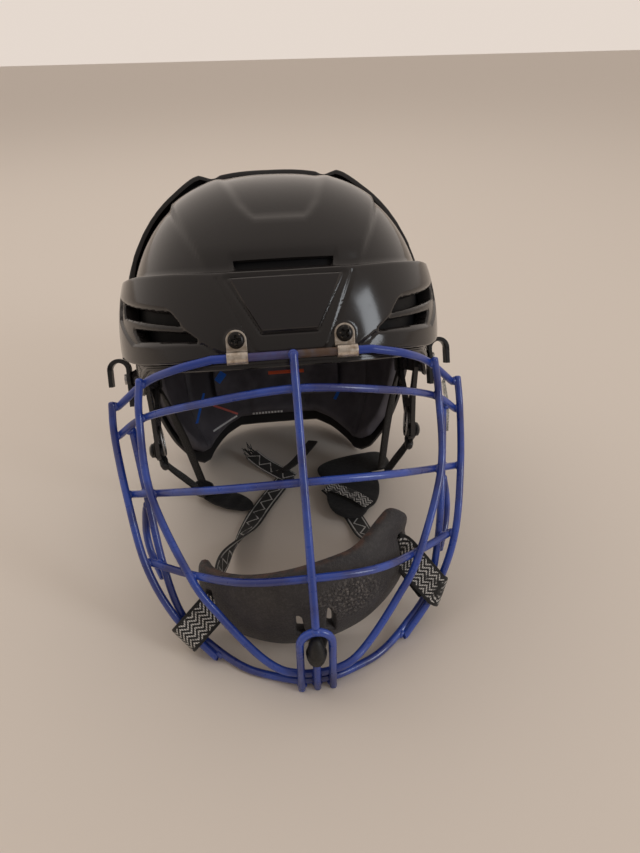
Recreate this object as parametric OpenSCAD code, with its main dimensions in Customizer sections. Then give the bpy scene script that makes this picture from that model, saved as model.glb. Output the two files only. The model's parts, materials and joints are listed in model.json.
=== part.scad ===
// Player's helmet for ice hockey with a hinged wire face cage, standing as it rests on a table.
// The helmet itself is drawn upright about the middle of the head at brow level:
// X is across, -Y is where the face looks, Z is up. The resting tilt is put on at the end.

/* [Front shell] */
// Half width of the dome
dome_half_w = 107; // [102:0.5:108]
// Half length of the dome
dome_half_l = 134; // [131:0.5:136]
// Height of the dome above brow level
dome_h = 124; // [118:0.5:130]
// Boxiness of the dome, where 2 is an ellipsoid
dome_power = 2.5; // [2.3:0.05:2.7]
// Wall of the front shell
shell_wall = 3; // [2.4:0.1:3.6]
// How far the brow band stands out at the front
band_front = 4.6; // [3.6:0.1:5]
// How far the brow band stands out at the sides
band_side = 8.6; // [6.6:0.1:9]
// Level of the brow band's upper edge
band_top_z = 50; // [46:0.5:52]
// Dip of the brow band's upper edge in the middle
band_dip = 3.8; // [0:0.1:4.5]
// Level of the brow band's lower edge at the sides
band_low_z = 1.5; // [1:0.1:3]
// Level of the shell's lower edge at the forehead
rim_front_z = -8; // [-9:0.5:-6]
// Level of the shell's lower edge at the temples
rim_side_z = -24; // [-28:0.5:-20]
// Height of the raised middle panel of the dome
panel_rise = 2; // [0.6:0.1:2.2]
// How far behind the crown the front shell ends
front_end_y = 30; // [27:0.5:34]

/* [Brow band openings] */
// Height of each long side vent
vent_h = 7; // [5:0.1:7.5]
// Length of each long side vent
vent_l = 66; // [58:0.5:68]
// Slope of the side vents
vent_slope = 8; // [5:0.5:10]
// Half width of the front vent slot
front_vent_half_w = 31.5; // [24:0.5:34]
// Height of the front vent slot
front_vent_h = 5; // [4:0.1:6.5]
// Half width of the front panel along its top
badge_top_half_w = 32.6; // [30:0.1:35]
// Half width of the front panel along its foot
badge_low_half_w = 15.6; // [12:0.1:18]
// Thickness of the front panel
badge_t = 1.4; // [1:0.1:2]

/* [Rear shell] */
// Wall of the rear shell
rear_wall = 3; // [2.4:0.1:3.2]
// How far the rear shell's outer face stands off the dome's line
rear_rise = 6.5; // [6.4:0.1:8]
// Extra height of the two ridges on the rear shell
ridge_rise = 5.2; // [3:0.1:6]
// How far in front of the crown line the rear shell starts
rear_start_y = 20; // [16:0.5:22]
// Travel of the rear shell when the size is let out
size_travel = 20; // [12:0.5:22]
// Level of the nape lobes' lower edge
lobe_z = -94; // [-97:0.5:-88]
// Length of a rear vent slot
rear_vent_l = 34; // [24:0.5:38]
// Width of a rear vent slot
rear_vent_w = 8; // [6:0.5:9]

/* [Liner and pads] */
// Thickness of the foam liner
foam_t = 11; // [8:0.5:12]
// Thickness of the comfort pads inside the foam
pad_t = 7; // [5:0.5:9]
// Clearance between shell, foam and pads
fit_gap = 0.4; // [0.3:0.05:0.6]

/* [Cage] */
// Diameter of the cage wire
wire_d = 4.8; // [4.4:0.1:5.2]
// Depth by which crossing wires sink into each other at a weld
weld_bite = 0.5; // [0.45:0.05:0.7]
// Length of the straight part of the top bar that turns in the clips
hinge_l = 92; // [88:0.5:98]
// Distance of the hinge line in front of the head's middle
hinge_reach = 146; // [145.5:0.1:149]
// Level of the hinge line
hinge_z = -1.5; // [-3:0.1:-1]
// Half width of the cage at the ends of the top bar
cage_top_w = 112.8; // [110:0.1:115]
// Half width of the cage at the eye bar
cage_eye_w = 105.3; // [103:0.1:108]
// Half width of the cage at the mouth bar
cage_mouth_w = 96.5; // [94:0.1:99]
// Half width between the cut ends of the side bars
cage_end_w = 59.3; // [56:0.1:62]
// Half width of the inner hoop at the top bar
hoop_top_w = 89.4; // [87:0.1:92]
// Half width of the inner hoop at the brow bar
hoop_brow_w = 93; // [91:0.1:95]
// Half width of the inner hoop at the eye bar
hoop_eye_w = 88.5; // [86:0.1:91]
// Half width of the inner hoop at the mouth bar
hoop_mouth_w = 68.5; // [66:0.1:71]
// How far the brow bar lies below the hinge line in the middle
brow_drop = 19.3; // [18:0.1:22]
// How far the eye bar lies below the hinge line in the middle
eye_drop = 72.4; // [68:0.1:76]
// How far the mouth bar lies below the hinge line in the middle
mouth_drop = 126.8; // [123:0.1:130]
// Length of the chin loop from its feet to its crown
loop_l = 47; // [44:0.1:50]
// Half width of the chin loop between wire middles
loop_half_w = 9.5; // [9:0.1:11]
// Length of the middle peg
peg_l = 22; // [18:0.1:24]

/* [Cage clips] */
// Distance of each cage clip from the middle
clip_x = 31.5; // [28:0.1:36]
// Width of a cage clip
clip_w = 12; // [10:0.1:14]
// Thickness of the clip's steel strip
clip_t = 1.2; // [1:0.1:1.4]
// Radial clearance of the top bar in its clips
bar_clearance = 0.08; // [0.05:0.01:0.1]
// Diameter of the clip screw's shank
clip_screw_d = 4; // [3.5:0.1:5]
// Diameter of the clip screw's head
clip_head_d = 9.5; // [8:0.1:10.5]
// Level of the clip screws
clip_screw_z = 8.5; // [8:0.1:9.5]

/* [J clips] */
// Level of the J clip's pivot
hook_pivot_z = -14; // [-15:0.1:-13]
// Place of the J clip's pivot in front of the ears
hook_y = -27; // [-29:0.1:-26]
// Width of the J clip's strip
hook_w = 9; // [7:0.1:10]
// Thickness of the J clip's strip
hook_t = 3; // [2.4:0.1:3.4]
// Inner radius of the J clip's bend
hook_r = 5.2; // [4.5:0.1:5.6]
// Length of the shank below the pivot
hook_tail = 20; // [16:0.1:22]
// Length of the free tip below the bend
hook_tip = 12; // [9:0.1:14]
// Diameter of the J clip's screw
hook_screw_d = 4; // [3.5:0.1:4.5]

/* [Ear guards] */
// Thickness of an ear guard
guard_t = 3.2; // [2.6:0.1:3.6]
// Distance of the ear guard's inner face from the middle
guard_x = 97.4; // [96:0.1:98]
// Level of the anchor ring under the ear
ring_z = -71; // [-75:0.1:-68]
// Outer radius of the anchor ring
ring_r = 8; // [7:0.1:9]
// Diameter of the snap stud
stud_d = 6; // [5:0.1:7]

/* [Chin cup] */
// Half width of the chin cup
cup_half_w = 71; // [68:0.5:73]
// Depth of the chin cup from its back line to its front
cup_depth = 56; // [53:0.5:58]
// Height of the chin cup below its widest line
cup_h = 56; // [53:0.5:56.5]
// Wall of the chin cup
cup_wall = 8; // [6:0.5:9]
// Sideways lean of the chin cup on its webbing
cup_roll = 11; // [7:0.5:12]
// How far the cup's right end spreads outwards at its top
cup_spread = 8; // [2:0.5:9]

/* [Webbing] */
// Width of the webbing that holds the cup
cup_web_w = 20; // [17:0.5:21]
// Width of the patterned webbing
web_w = 15; // [12:0.5:16]
// Thickness of the patterned webbing
web_t = 1.6; // [1.3:0.1:2]
// Width of the plain helmet straps
strap_w = 11; // [9:0.5:13]
// Thickness of the plain helmet straps
strap_t = 2; // [1.6:0.1:2.4]

/* [Hidden] */
$fn = 40;

wire_r = wire_d / 2;
weld = wire_d - weld_bite;

// General functions.
function lerp(a, b, t) = a + (b - a) * t;
function limit(v, lo, hi) = min(max(v, lo), hi);
function ease(t) = let (u = limit(t, 0, 1)) u * u * (3 - 2 * u);
function unit(v) = v / norm(v);
function flip(p) = [-p[0], p[1], p[2]];
function both(half) = concat([for (i = [len(half) - 1 : -1 : 1]) flip(half[i])], half);

// A smooth curve through points, with k steps from each to the next.
function blend4(a, b, c, d, t) =
  0.5 * (2 * b + (c - a) * t + (2 * a - 5 * b + 4 * c - d) * t * t + (3 * b - a - 3 * c + d) * t * t * t);
function curve(p, k) = let (n = len(p)) concat(
  [for (i = [0 : n - 2]) for (j = [0 : k - 1])
    blend4(i > 0 ? p[i - 1] : 2 * p[0] - p[1], p[i], p[i + 1],
      i < n - 2 ? p[i + 2] : 2 * p[n - 1] - p[n - 2], j / k)],
  [p[n - 1]]);
function tangent(p, i) = unit(p[min(i + 1, len(p) - 1)] - p[max(i - 1, 0)]);

// A closed bar with an oval or flat section along a path. side gives the width's direction.
module sweep(path, side, half_w, half_t, n, turn = 0) {
  m = len(path);
  pts = [for (i = [0 : m - 1])
    let (t = tangent(path, i), s = is_list(side[0]) ? side[i] : side,
      w = unit(s - t * (s * t)), u = cross(t, w),
      a = is_list(half_w) ? half_w[i] : half_w, b = is_list(half_t) ? half_t[i] : half_t)
    for (j = [0 : n - 1])
      path[i] + w * a * cos(360 * j / n + turn) + u * b * sin(360 * j / n + turn)];
  faces = concat(
    [for (i = [0 : m - 2]) for (j = [0 : n - 1]) let (k = (j + 1) % n)
      [i * n + j, (i + 1) * n + k, i * n + k]],
    [for (i = [0 : m - 2]) for (j = [0 : n - 1]) let (k = (j + 1) % n)
      [i * n + j, (i + 1) * n + j, (i + 1) * n + k]],
    [for (j = [1 : n - 2]) [0, j, j + 1]],
    [for (j = [1 : n - 2]) [(m - 1) * n, (m - 1) * n + j + 1, (m - 1) * n + j]]);
  polyhedron(pts, faces, 4);
}
module wire(path, side, n = 8) {
  sweep(path, side, wire_r, wire_r, n, 180 / n);
}
module ribbon(path, side, w, t) {
  sweep(path, side, w / 2 * sqrt(2), t / 2 * sqrt(2), 4, 45);
}

// A solid between two point grids of r rows and c columns.
module slab(out, inn, r, c) {
  q = r * c;
  pts = concat(out, inn);
  faces = concat(
    [for (i = [0 : r - 2]) for (j = [0 : c - 2]) let (a = i * c + j) each
      [[a, a + c, a + 1], [a + 1, a + c, a + c + 1],
       [q + a, q + a + 1, q + a + c], [q + a + 1, q + a + c + 1, q + a + c]]],
    [for (j = [0 : c - 2]) let (a = j, b = (r - 1) * c + j) each
      [[a, a + 1, q + a], [a + 1, q + a + 1, q + a],
       [b, q + b, b + 1], [b + 1, q + b, q + b + 1]]],
    [for (i = [0 : r - 2]) let (a = i * c, b = i * c + c - 1) each
      [[a, q + a, a + c], [a + c, q + a, q + a + c],
       [b, b + c, q + b], [b + c, q + b + c, q + b]]]);
  polyhedron(pts, faces, 4);
}

// A bowl between two point grids of m rings and n points, each with an apex at its end.
module bowl(out, inn, m, n) {
  q = m * n + 1;
  pts = concat(out, inn);
  faces = concat(
    [for (i = [0 : m - 2]) for (j = [0 : n - 1])
      let (k = (j + 1) % n, a = i * n + j, b = i * n + k) each
      [[a, a + n, b], [b, a + n, b + n],
       [q + a, q + b, q + a + n], [q + b, q + b + n, q + a + n]]],
    [for (j = [0 : n - 1]) let (k = (j + 1) % n, a = (m - 1) * n + j, b = (m - 1) * n + k) each
      [[a, q - 1, b], [q + a, q + b, 2 * q - 1], [j, k, q + j], [k, q + k, q + j]]]);
  polyhedron(pts, faces, 4);
}

// The dome's line. th is the bearing from the face, ph the height over brow level.
function ray(th, ph) = [cos(ph) * sin(th), -cos(ph) * cos(th), sin(ph)];
function dome_r(th, ph) = let (u = ray(th, ph))
  pow(pow(abs(u[0]) / dome_half_w, dome_power) + pow(abs(u[1]) / dome_half_l, dome_power)
    + pow(abs(u[2]) / dome_h, dome_power), -1 / dome_power);
function at_level(th, z, k = 5, ph = 0) =
  k == 0 ? ph : at_level(th, z, k - 1, asin(limit(z / dome_r(th, ph), -0.99, 0.99)));
// Height at which a bearing meets the plane at distance y, or the given low edge.
function at_plane(th, y, low) = let (c = abs(cos(th)))
  y >= dome_r(th, 0) * c ? low : plane_step(th, y, c, 8, 45);
function plane_step(th, y, c, k, ph) =
  k == 0 ? ph : plane_step(th, y, c, k - 1, acos(limit(y / (dome_r(th, ph) * c), 0, 1)));
function skin(th, ph, off) = ray(th, ph) * (dome_r(th, ph) + off);
function fold(th) = abs(((th + 180) % 360 + 360) % 360 - 180);

// Front shell.
band_end = 72;
function band_rise(th) = fold(th) <= band_end ? lerp(band_front, band_side, ease(fold(th) / 70)) : 0;
function rim_z(th) = lerp(rim_front_z, rim_side_z, ease((fold(th) - 42) / 14));
function band_z(th) = lerp(band_low_z + 1.5, band_low_z, ease(fold(th) / 30));
function band_top(th) = band_top_z - band_dip * (1 - ease(fold(th) / 45));
front_rows = 13;
function front_level(i, th) =
  i == 0 ? at_level(th, rim_z(th)) : i == 1 ? at_level(th, band_z(th) - 2.5)
  : i == 2 ? at_level(th, band_z(th)) : i == 3 ? at_level(th, lerp(band_z(th), band_top(th), 0.5))
  : i == 4 ? at_level(th, band_top(th)) : i == 5 ? at_level(th, band_top(th) + 4)
  : lerp(at_level(th, band_top(th) + 4), 90, [0.14, 0.3, 0.46, 0.62, 0.76, 0.87, 0.95][i - 6]);
function front_cut(th) = fold(th) < 91 ? at_level(th, rim_z(th))
  : at_plane(th, front_end_y, at_level(th, rim_z(th)));
function front_ph(i, th) = let (b0 = front_level(0, th), c = front_cut(th))
  c + (90 - c) * (front_level(i, th) - b0) / (90 - b0);
// The raised middle panel widens from the brow towards the crown.
function panel(th, ph) = let (p = skin(th, ph, 0), w = lerp(43, 70, limit((p[2] - 46) / 58, 0, 1)))
  p[1] > 40 ? 0 : panel_rise * (1 - ease((abs(p[0]) - w + 6) / 10)) * ease((p[2] - band_top_z) / 8);
function front_off(i, th, ph) = i >= 2 && i <= 4 && front_cut(th) < 0 ? band_rise(th) : panel(th, ph);
front_n = 60;
function front_grid(off, lift) = concat(
  [for (i = [0 : front_rows - 1]) for (j = [0 : front_n - 1])
    let (th = 360 * j / front_n, ph = front_ph(i, th))
    skin(th, ph, off == "out" ? front_off(i, th, ph) + lift : lift)],
  [[0, 0, dome_h + (off == "out" ? panel(0, 90) : 0) + lift]]);

clip_seat_y = dome_half_l + band_front - 1.3;
hook_seat_x = dome_half_w + 3.4;
badge_rows = [12, 18, 25, 32, 42.3];
vent_z = [26.5, 13.5];
vent_th = [42.5, 34.5];
front_vent_z = band_top_z - band_dip + 6;

module both_sides() {
  children();
  mirror([1, 0, 0]) children();
}
module front_shell() {
  color([0.03, 0.03, 0.035]) difference() {
    union() {
      bowl(front_grid("out", 0), front_grid("in", -shell_wall), front_rows, front_n);
      both_sides() {
        translate([clip_x, -clip_seat_y, clip_screw_z]) rotate([-90, 0, 0])
          cylinder(h = 5, d = clip_w);
        translate([dome_half_w - shell_wall - 0.6, hook_y, hook_pivot_z]) rotate([0, 90, 0])
          cylinder(h = hook_seat_x - dome_half_w + shell_wall + 0.6, d = 12);
      }
    }
    both_sides() {
      for (i = [0, 1]) rotate([0, 0, vent_th[i]]) translate([0, -dome_half_l, vent_z[i]])
        rotate([0, -vent_slope, 0]) cube([vent_l - 10 * i, 90, vent_h - 1.5 * i], center = true);
      translate([clip_x, -clip_seat_y - 1, clip_screw_z]) rotate([-90, 0, 0])
        cylinder(h = 9, d = clip_screw_d);
      translate([dome_half_w - shell_wall - 2, hook_y, hook_pivot_z]) rotate([0, 90, 0])
        cylinder(h = 20, d = hook_screw_d);
      translate([size_x - 16, size_y, size_z]) rotate([0, 90, 0]) cylinder(h = 30, d = size_screw_d);
    }
    translate([0, -dome_half_l, front_vent_z])
      cube([2 * front_vent_half_w, 60, front_vent_h], center = true);
  }
}
function badge_grid(lift) = [for (z = badge_rows) for (j = [-6 : 6])
  let (w = lerp(badge_low_half_w, badge_top_half_w,
      (z - badge_rows[0]) / (badge_rows[4] - badge_rows[0])),
    th = atan(w * j / 6 / (dome_half_l - 2)), ph = at_level(th, z))
  skin(th, ph, band_rise(th) + lift)];
module badge_panel() {
  color([0.04, 0.04, 0.045]) slab(badge_grid(badge_t), badge_grid(-0.3), 5, 13);
}

// Foam behind the front shell, and the comfort pads inside it.
foam_out = -shell_wall - 3 * fit_gap;
foam_in = foam_out - foam_t;
pad_out = foam_in - 2 * fit_gap - 0.3;
foam_n = 40;
foam_rows = 9;
function foam_cut(th) = fold(th) < 91 ? at_level(th, rim_front_z + 4)
  : at_plane(th, front_end_y - 6, at_level(th, rim_front_z + 4));
function foam_grid(off) = concat(
  [for (i = [0 : foam_rows - 1]) for (j = [0 : foam_n - 1])
    let (th = 360 * j / foam_n, c = foam_cut(th))
    skin(th, lerp(c, 90, [0, 0.11, 0.22, 0.34, 0.46, 0.58, 0.7, 0.82, 0.93][i]), off)],
  [[0, 0, dome_h + off]]);
module front_liner() {
  color([0.07, 0.07, 0.08]) difference() {
    bowl(foam_grid(foam_out), foam_grid(foam_in), foam_rows, foam_n);
    both_sides() translate([size_x - 30, size_y, size_z]) rotate([0, 90, 0]) cylinder(h = 40, d = 14);
  }
}
function pad_grid(th0, th1, z0, z1, r, c, off) = [for (i = [0 : r - 1]) for (j = [0 : c - 1])
  let (th = lerp(th0, th1, j / (c - 1)),
    e = (i == 0 || i == r - 1 || j == 0 || j == c - 1) ? 1 : 0)
  skin(th, at_level(th, lerp(z0, z1, i / (r - 1))), off < pad_out ? off + e * pad_t * 0.35 : off)];
module pad(th0, th1, z0, z1, r, c) {
  slab(pad_grid(th0, th1, z0, z1, r, c, pad_out), pad_grid(th0, th1, z0, z1, r, c, pad_out - pad_t), r, c);
}
module brow_pad() {
  color([0.09, 0.09, 0.1]) pad(-50, 50, -3, 26, 4, 13);
}
module temple_pad_left() {
  color([0.09, 0.09, 0.1]) mirror([1, 0, 0]) pad(56, 96, -3, 34, 4, 7);
}
module temple_pad_right() {
  color([0.09, 0.09, 0.1]) pad(56, 96, -3, 34, 4, 7);
}
module crown_pad() {
  color([0.09, 0.09, 0.1]) bowl(
    concat([for (i = [0 : 3]) for (j = [0 : 23]) skin(15 * j, lerp(58, 90, i / 4), pad_out - 3)],
      [[0, 0, dome_h + pad_out - 3]]),
    concat([for (i = [0 : 3]) for (j = [0 : 23])
        skin(15 * j, lerp(58, 90, i / 4), pad_out - 3 - (i == 0 ? 0.65 : 1) * pad_t)],
      [[0, 0, dome_h + pad_out - 3 - pad_t]]), 4, 24);
}

// Rear shell, which slides back over the front shell.
rear_n = 60;
rear_rows = 9;
rear_slack = rear_rise - rear_wall;
function rear_low(th) = lookup(fold(th), [[0, 34], [94, 34], [103, 2], [112, -36], [121, -74],
  [128, lobe_z + 4], [134, lobe_z], [140, lobe_z + 1], [148, lobe_z + 9], [156, lobe_z + 18],
  [163, lobe_z + 24], [180, lobe_z + 24]]);
function rear_cut(th) = fold(th) > 89 ? at_level(th, rear_low(th))
  : at_plane(th, rear_start_y, at_level(th, rear_low(th)));
function ridge(th, ph) = let (p = skin(th, ph, 0), u = abs(p[0]) / dome_half_w)
  ridge_rise * lookup(u, [[0, -0.1], [0.34, 0.25], [0.46, 1], [0.6, 0.55], [0.85, 0.15], [1, 0]])
    * ease((p[2] + 20) / 90);
function rear_grid(off) = concat(
  [for (i = [0 : rear_rows - 1]) for (j = [0 : rear_n - 1])
    let (th = 360 * j / rear_n, c = rear_cut(th),
      ph = lerp(c, 90, [0, 0.06, 0.18, 0.32, 0.46, 0.6, 0.74, 0.87, 0.95][i]))
    skin(th, ph, rear_rise + max(ridge(th, ph), -0.3) + off)],
  [[0, 0, dome_h + rear_rise - 0.3 + off]]);
size_screw_d = 4.6;
size_y = 10;
size_z = 42;
size_x = dome_half_w + 5;
slot_clearance = 0.5;
rear_vent_th = [14, 38, 58];
rear_vent_z = [52, 34, 4];
rear_vent_lean = [6, 10, 14];
module rear_shell() {
  color([0.05, 0.05, 0.055]) difference() {
    bowl(rear_grid(0), rear_grid(-rear_wall), rear_rows, rear_n);
    both_sides() {
      translate([size_x - 16, size_y, size_z]) rotate([0, 90, 0])
        cylinder(h = 30, d = size_screw_d + 2 * slot_clearance);
      translate([size_x - 16, size_y - size_travel, size_z]) rotate([0, 90, 0])
        cylinder(h = 30, d = size_screw_d + 2 * slot_clearance);
      translate([size_x - 16, size_y - size_travel, size_z - size_screw_d / 2 - slot_clearance])
        cube([30, size_travel, size_screw_d + 2 * slot_clearance]);
      for (i = [0 : 2]) rotate([0, 0, 180 - rear_vent_th[i]]) translate([0, -dome_half_l, rear_vent_z[i]])
        rotate([0, rear_vent_lean[i], 0]) rotate([90, 0, 0]) hull() for (e = [-1, 1])
          translate([0, e * (rear_vent_l - rear_vent_w) / 2, 0])
            cylinder(h = 90, d = rear_vent_w, center = true, $fn = 20);
    }
  }
}
rear_foam_out = rear_slack - 5 * fit_gap;
rear_foam_in = rear_foam_out - foam_t;
rear_foam_n = 44;
// The foam keeps behind the front shell's end and a little inside the rear shell's edge.
rear_foam_th = acos((front_end_y + 9) / (dome_half_w - 4)) + 4;
function rear_foam_patch(i, j, off) = let (th = lerp(180 - rear_foam_th, 180 + rear_foam_th, j / 16),
    low = at_level(th, rear_low(th) + 5), top = at_plane(th, front_end_y + 9, 0))
  skin(th, lerp(low, top, i / 7), off);
module rear_liner() {
  color([0.07, 0.07, 0.08]) slab(
    [for (i = [0 : 7]) for (j = [0 : 16]) rear_foam_patch(i, j, rear_foam_out)],
    [for (i = [0 : 7]) for (j = [0 : 16]) rear_foam_patch(i, j, rear_foam_in)], 8, 17);
}
module nape_pad() {
  color([0.09, 0.09, 0.1]) slab(
    [for (i = [0 : 3]) for (j = [0 : 8]) let (th = lerp(150, 210, j / 8))
      skin(th, at_level(th, lerp(-52, -14, i / 3)), rear_foam_in - 5 * fit_gap)],
    [for (i = [0 : 3]) for (j = [0 : 8]) let (th = lerp(150, 210, j / 8),
        e = (i == 0 || i == 3 || j == 0 || j == 8) ? 0.35 : 0)
      skin(th, at_level(th, lerp(-52, -14, i / 3)), rear_foam_in - 5 * fit_gap - pad_t * (1 - e))], 4, 9);
}
module size_screw(s) {
  color([0.1, 0.1, 0.1]) translate([s * (size_x - 8.5), size_y, size_z]) rotate([0, s * 90, 0]) {
    cylinder(h = 10, d = size_screw_d);
    translate([0, 0, 9]) difference() {
      cylinder(h = 3, d = 11);
      translate([0, 0, 2.5]) cube([9, 1.4, 2], center = true);
    }
  }
}
module size_screw_left() { size_screw(-1); }
module size_screw_right() { size_screw(1); }

// Steel clips, which wrap round the top bar and are screwed to the brow band.
ring_in = wire_r + bar_clearance;
ring_out = ring_in + clip_t;
clip_back_y = -clip_seat_y - 0.05;
module cage_clip(s) {
  color([0.72, 0.66, 0.58]) translate([s * clip_x - clip_w / 2, 0, 0]) difference() {
    union() {
      translate([0, -hinge_reach, hinge_z]) rotate([0, 90, 0]) cylinder(h = clip_w, r = ring_out);
      translate([0, -hinge_reach, hinge_z + ring_out - clip_t])
        cube([clip_w, hinge_reach + clip_back_y, clip_t]);
      translate([0, clip_back_y - clip_t, hinge_z + ring_out - clip_t])
        cube([clip_w, clip_t, clip_screw_z - hinge_z - ring_out + clip_t]);
      translate([clip_w / 2, clip_back_y - clip_t, clip_screw_z]) rotate([-90, 0, 0])
        cylinder(h = clip_t, d = clip_w);
    }
    translate([-1, -hinge_reach, hinge_z]) rotate([0, 90, 0]) cylinder(h = clip_w + 2, r = ring_in);
    translate([clip_w / 2, clip_back_y - clip_t - 1, clip_screw_z]) rotate([-90, 0, 0])
      cylinder(h = clip_t + 2, d = clip_screw_d + 0.2);
  }
}
module cage_clip_left() { cage_clip(-1); }
module cage_clip_right() { cage_clip(1); }
module clip_screw(s) {
  color([0.08, 0.08, 0.08]) translate([s * clip_x, clip_back_y - clip_t, clip_screw_z])
    rotate([90, 0, 0]) difference() {
      union() {
        translate([0, 0, -clip_t - 7]) cylinder(h = clip_t + 7, d = clip_screw_d);
        cylinder(h = 1, d = clip_head_d);
        translate([0, 0, 1]) cylinder(h = 1.2, d1 = clip_head_d, d2 = clip_head_d - 4);
      }
      translate([0, 0, 2]) cube([5, 1.1, 2], center = true);
      translate([0, 0, 2]) cube([1.1, 5, 2], center = true);
    }
}
module clip_screw_left() { clip_screw(-1); }
module clip_screw_right() { clip_screw(1); }

// Ear guards hang inside the shell's edge and narrow to an anchor ring for the straps.
guard_top_z = rim_front_z + 1.5;
ring_y = -9;
module ear_guard(s) {
  color([0.06, 0.06, 0.065]) mirror([s < 0 ? 1 : 0, 0, 0]) difference() {
    union() {
      translate([guard_x, 0, 0]) rotate([90, 0, 90]) linear_extrude(height = guard_t) difference() {
        union() {
          polygon([[-39, guard_top_z], [26, guard_top_z], [24, -22], [8, -46], [-1.5, ring_z - 3],
            [-16.5, ring_z - 3], [-25, -44], [-38, -20]]);
          translate([ring_y, ring_z]) circle(r = ring_r);
        }
        polygon([[-31, -23], [12, -23], [-2, -45], [-15, -45]]);
      }
      for (y = [-22, 16]) translate([guard_x + guard_t - 0.2, y, -15]) rotate([0, 90, 0])
        cylinder(h = dome_half_w - shell_wall - guard_x - guard_t, d = 9);
    }
    translate([guard_x - 1, ring_y, ring_z]) rotate([0, 90, 0]) cylinder(h = guard_t + 2, d = stud_d);
  }
}
module ear_guard_left() { ear_guard(-1); }
module ear_guard_right() { ear_guard(1); }
module snap_stud(s) {
  color([0.12, 0.12, 0.12]) translate([s * (guard_x - 2.2), ring_y, ring_z]) rotate([0, s * 90, 0]) {
    cylinder(h = 2.2, d = 10);
    cylinder(h = 2.5 + guard_t + strap_t, d = stud_d);
    translate([0, 0, 2.5 + guard_t + strap_t]) cylinder(h = 1.6, d = 11);
    translate([0, 0, 4.1 + guard_t + strap_t]) cylinder(h = 1.4, d1 = 11, d2 = 7);
  }
}
module snap_stud_left() { snap_stud(-1); }
module snap_stud_right() { snap_stud(1); }

// J clips turn on one screw each and hook outwards to hold the cage's side when it is down.
hook_in_x = hook_seat_x + 0.1;
hook_top_z = hook_pivot_z + 7;
module j_clip(s) {
  color([0.05, 0.05, 0.05]) mirror([s < 0 ? 1 : 0, 0, 0]) difference() {
    union() {
      translate([hook_in_x, hook_y - hook_w / 2, hook_pivot_z - hook_tail])
        cube([hook_t, hook_w, hook_top_z - hook_pivot_z + hook_tail]);
      translate([hook_in_x + hook_t + hook_r, hook_y + hook_w / 2, hook_top_z]) rotate([90, 0, 0])
        rotate_extrude(angle = 180) translate([hook_r, 0]) square([hook_t, hook_w]);
      translate([hook_in_x + hook_t + 2 * hook_r, hook_y - hook_w / 2, hook_top_z - hook_tip])
        cube([hook_t, hook_w, hook_tip]);
      translate([hook_in_x, hook_y, hook_pivot_z]) rotate([0, 90, 0]) cylinder(h = hook_t, d = 12);
    }
    translate([hook_in_x - 1, hook_y, hook_pivot_z]) rotate([0, 90, 0])
      cylinder(h = hook_t + 2, d = hook_screw_d + 0.12);
  }
}
module j_clip_left() { j_clip(-1); }
module j_clip_right() { j_clip(1); }
module hook_screw(s) {
  color([0.3, 0.3, 0.3]) mirror([s < 0 ? 1 : 0, 0, 0])
    translate([dome_half_w - shell_wall, hook_y, hook_pivot_z]) rotate([0, 90, 0]) {
      cylinder(h = hook_in_x + hook_t + 0.1 - dome_half_w + shell_wall, d = hook_screw_d);
      translate([0, 0, hook_in_x + hook_t + 0.1 - dome_half_w + shell_wall]) difference() {
        cylinder(h = 1.8, d = 8);
        translate([0, 0, 1.6]) cube([4, 1, 1.6], center = true);
        translate([0, 0, 1.6]) cube([1, 4, 1.6], center = true);
      }
    }
}
module hook_screw_left() { hook_screw(-1); }
module hook_screw_right() { hook_screw(1); }

// Cage. Cross bars run behind, upright bars lie in front of them and are welded at each crossing.
hinge_half = hinge_l / 2;
top_in = [hoop_top_w, 38 - hinge_reach, hinge_z - 12];
top_out = [cage_top_w, 66 - hinge_reach, hinge_z - 28];
brow_mid = [0, -hinge_reach - 3, hinge_z - brow_drop];
brow_in = [hoop_brow_w, 44.5 - hinge_reach, hinge_z - brow_drop - 14.8];
brow_out = [cage_top_w, 63 - hinge_reach, hinge_z - brow_drop - 27];
eye_mid = [0, -hinge_reach - 10.3, hinge_z - eye_drop];
eye_in = [hoop_eye_w, 31 - hinge_reach, hinge_z - eye_drop - 7.6];
eye_out = [cage_eye_w, 43 - hinge_reach, hinge_z - eye_drop - 9.4];
mouth_mid = [0, -hinge_reach - 17.5, hinge_z - mouth_drop];
mouth_in = [hoop_mouth_w, 16.5 - hinge_reach, hinge_z - mouth_drop - 3];
mouth_out = [cage_mouth_w, 33 - hinge_reach, hinge_z - mouth_drop + 2.6];
out_in = unit([0.62, -0.78, 0]);
out_low = unit([0.42, -0.9, -0.1]);
out_side = unit([0.62, -0.78, 0.05]);

// The chin loop's plane leans back towards its feet.
foot = [0, -hinge_reach - 4.6, hinge_z - 200.3];
lean = unit([0, -0.378, 0.926]);
back = unit([0, 0.926, 0.378]);
hoop_foot = foot + lean * 8.4 + back * weld;
rim_foot = foot + lean * 3.2 + back * weld;

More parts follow.
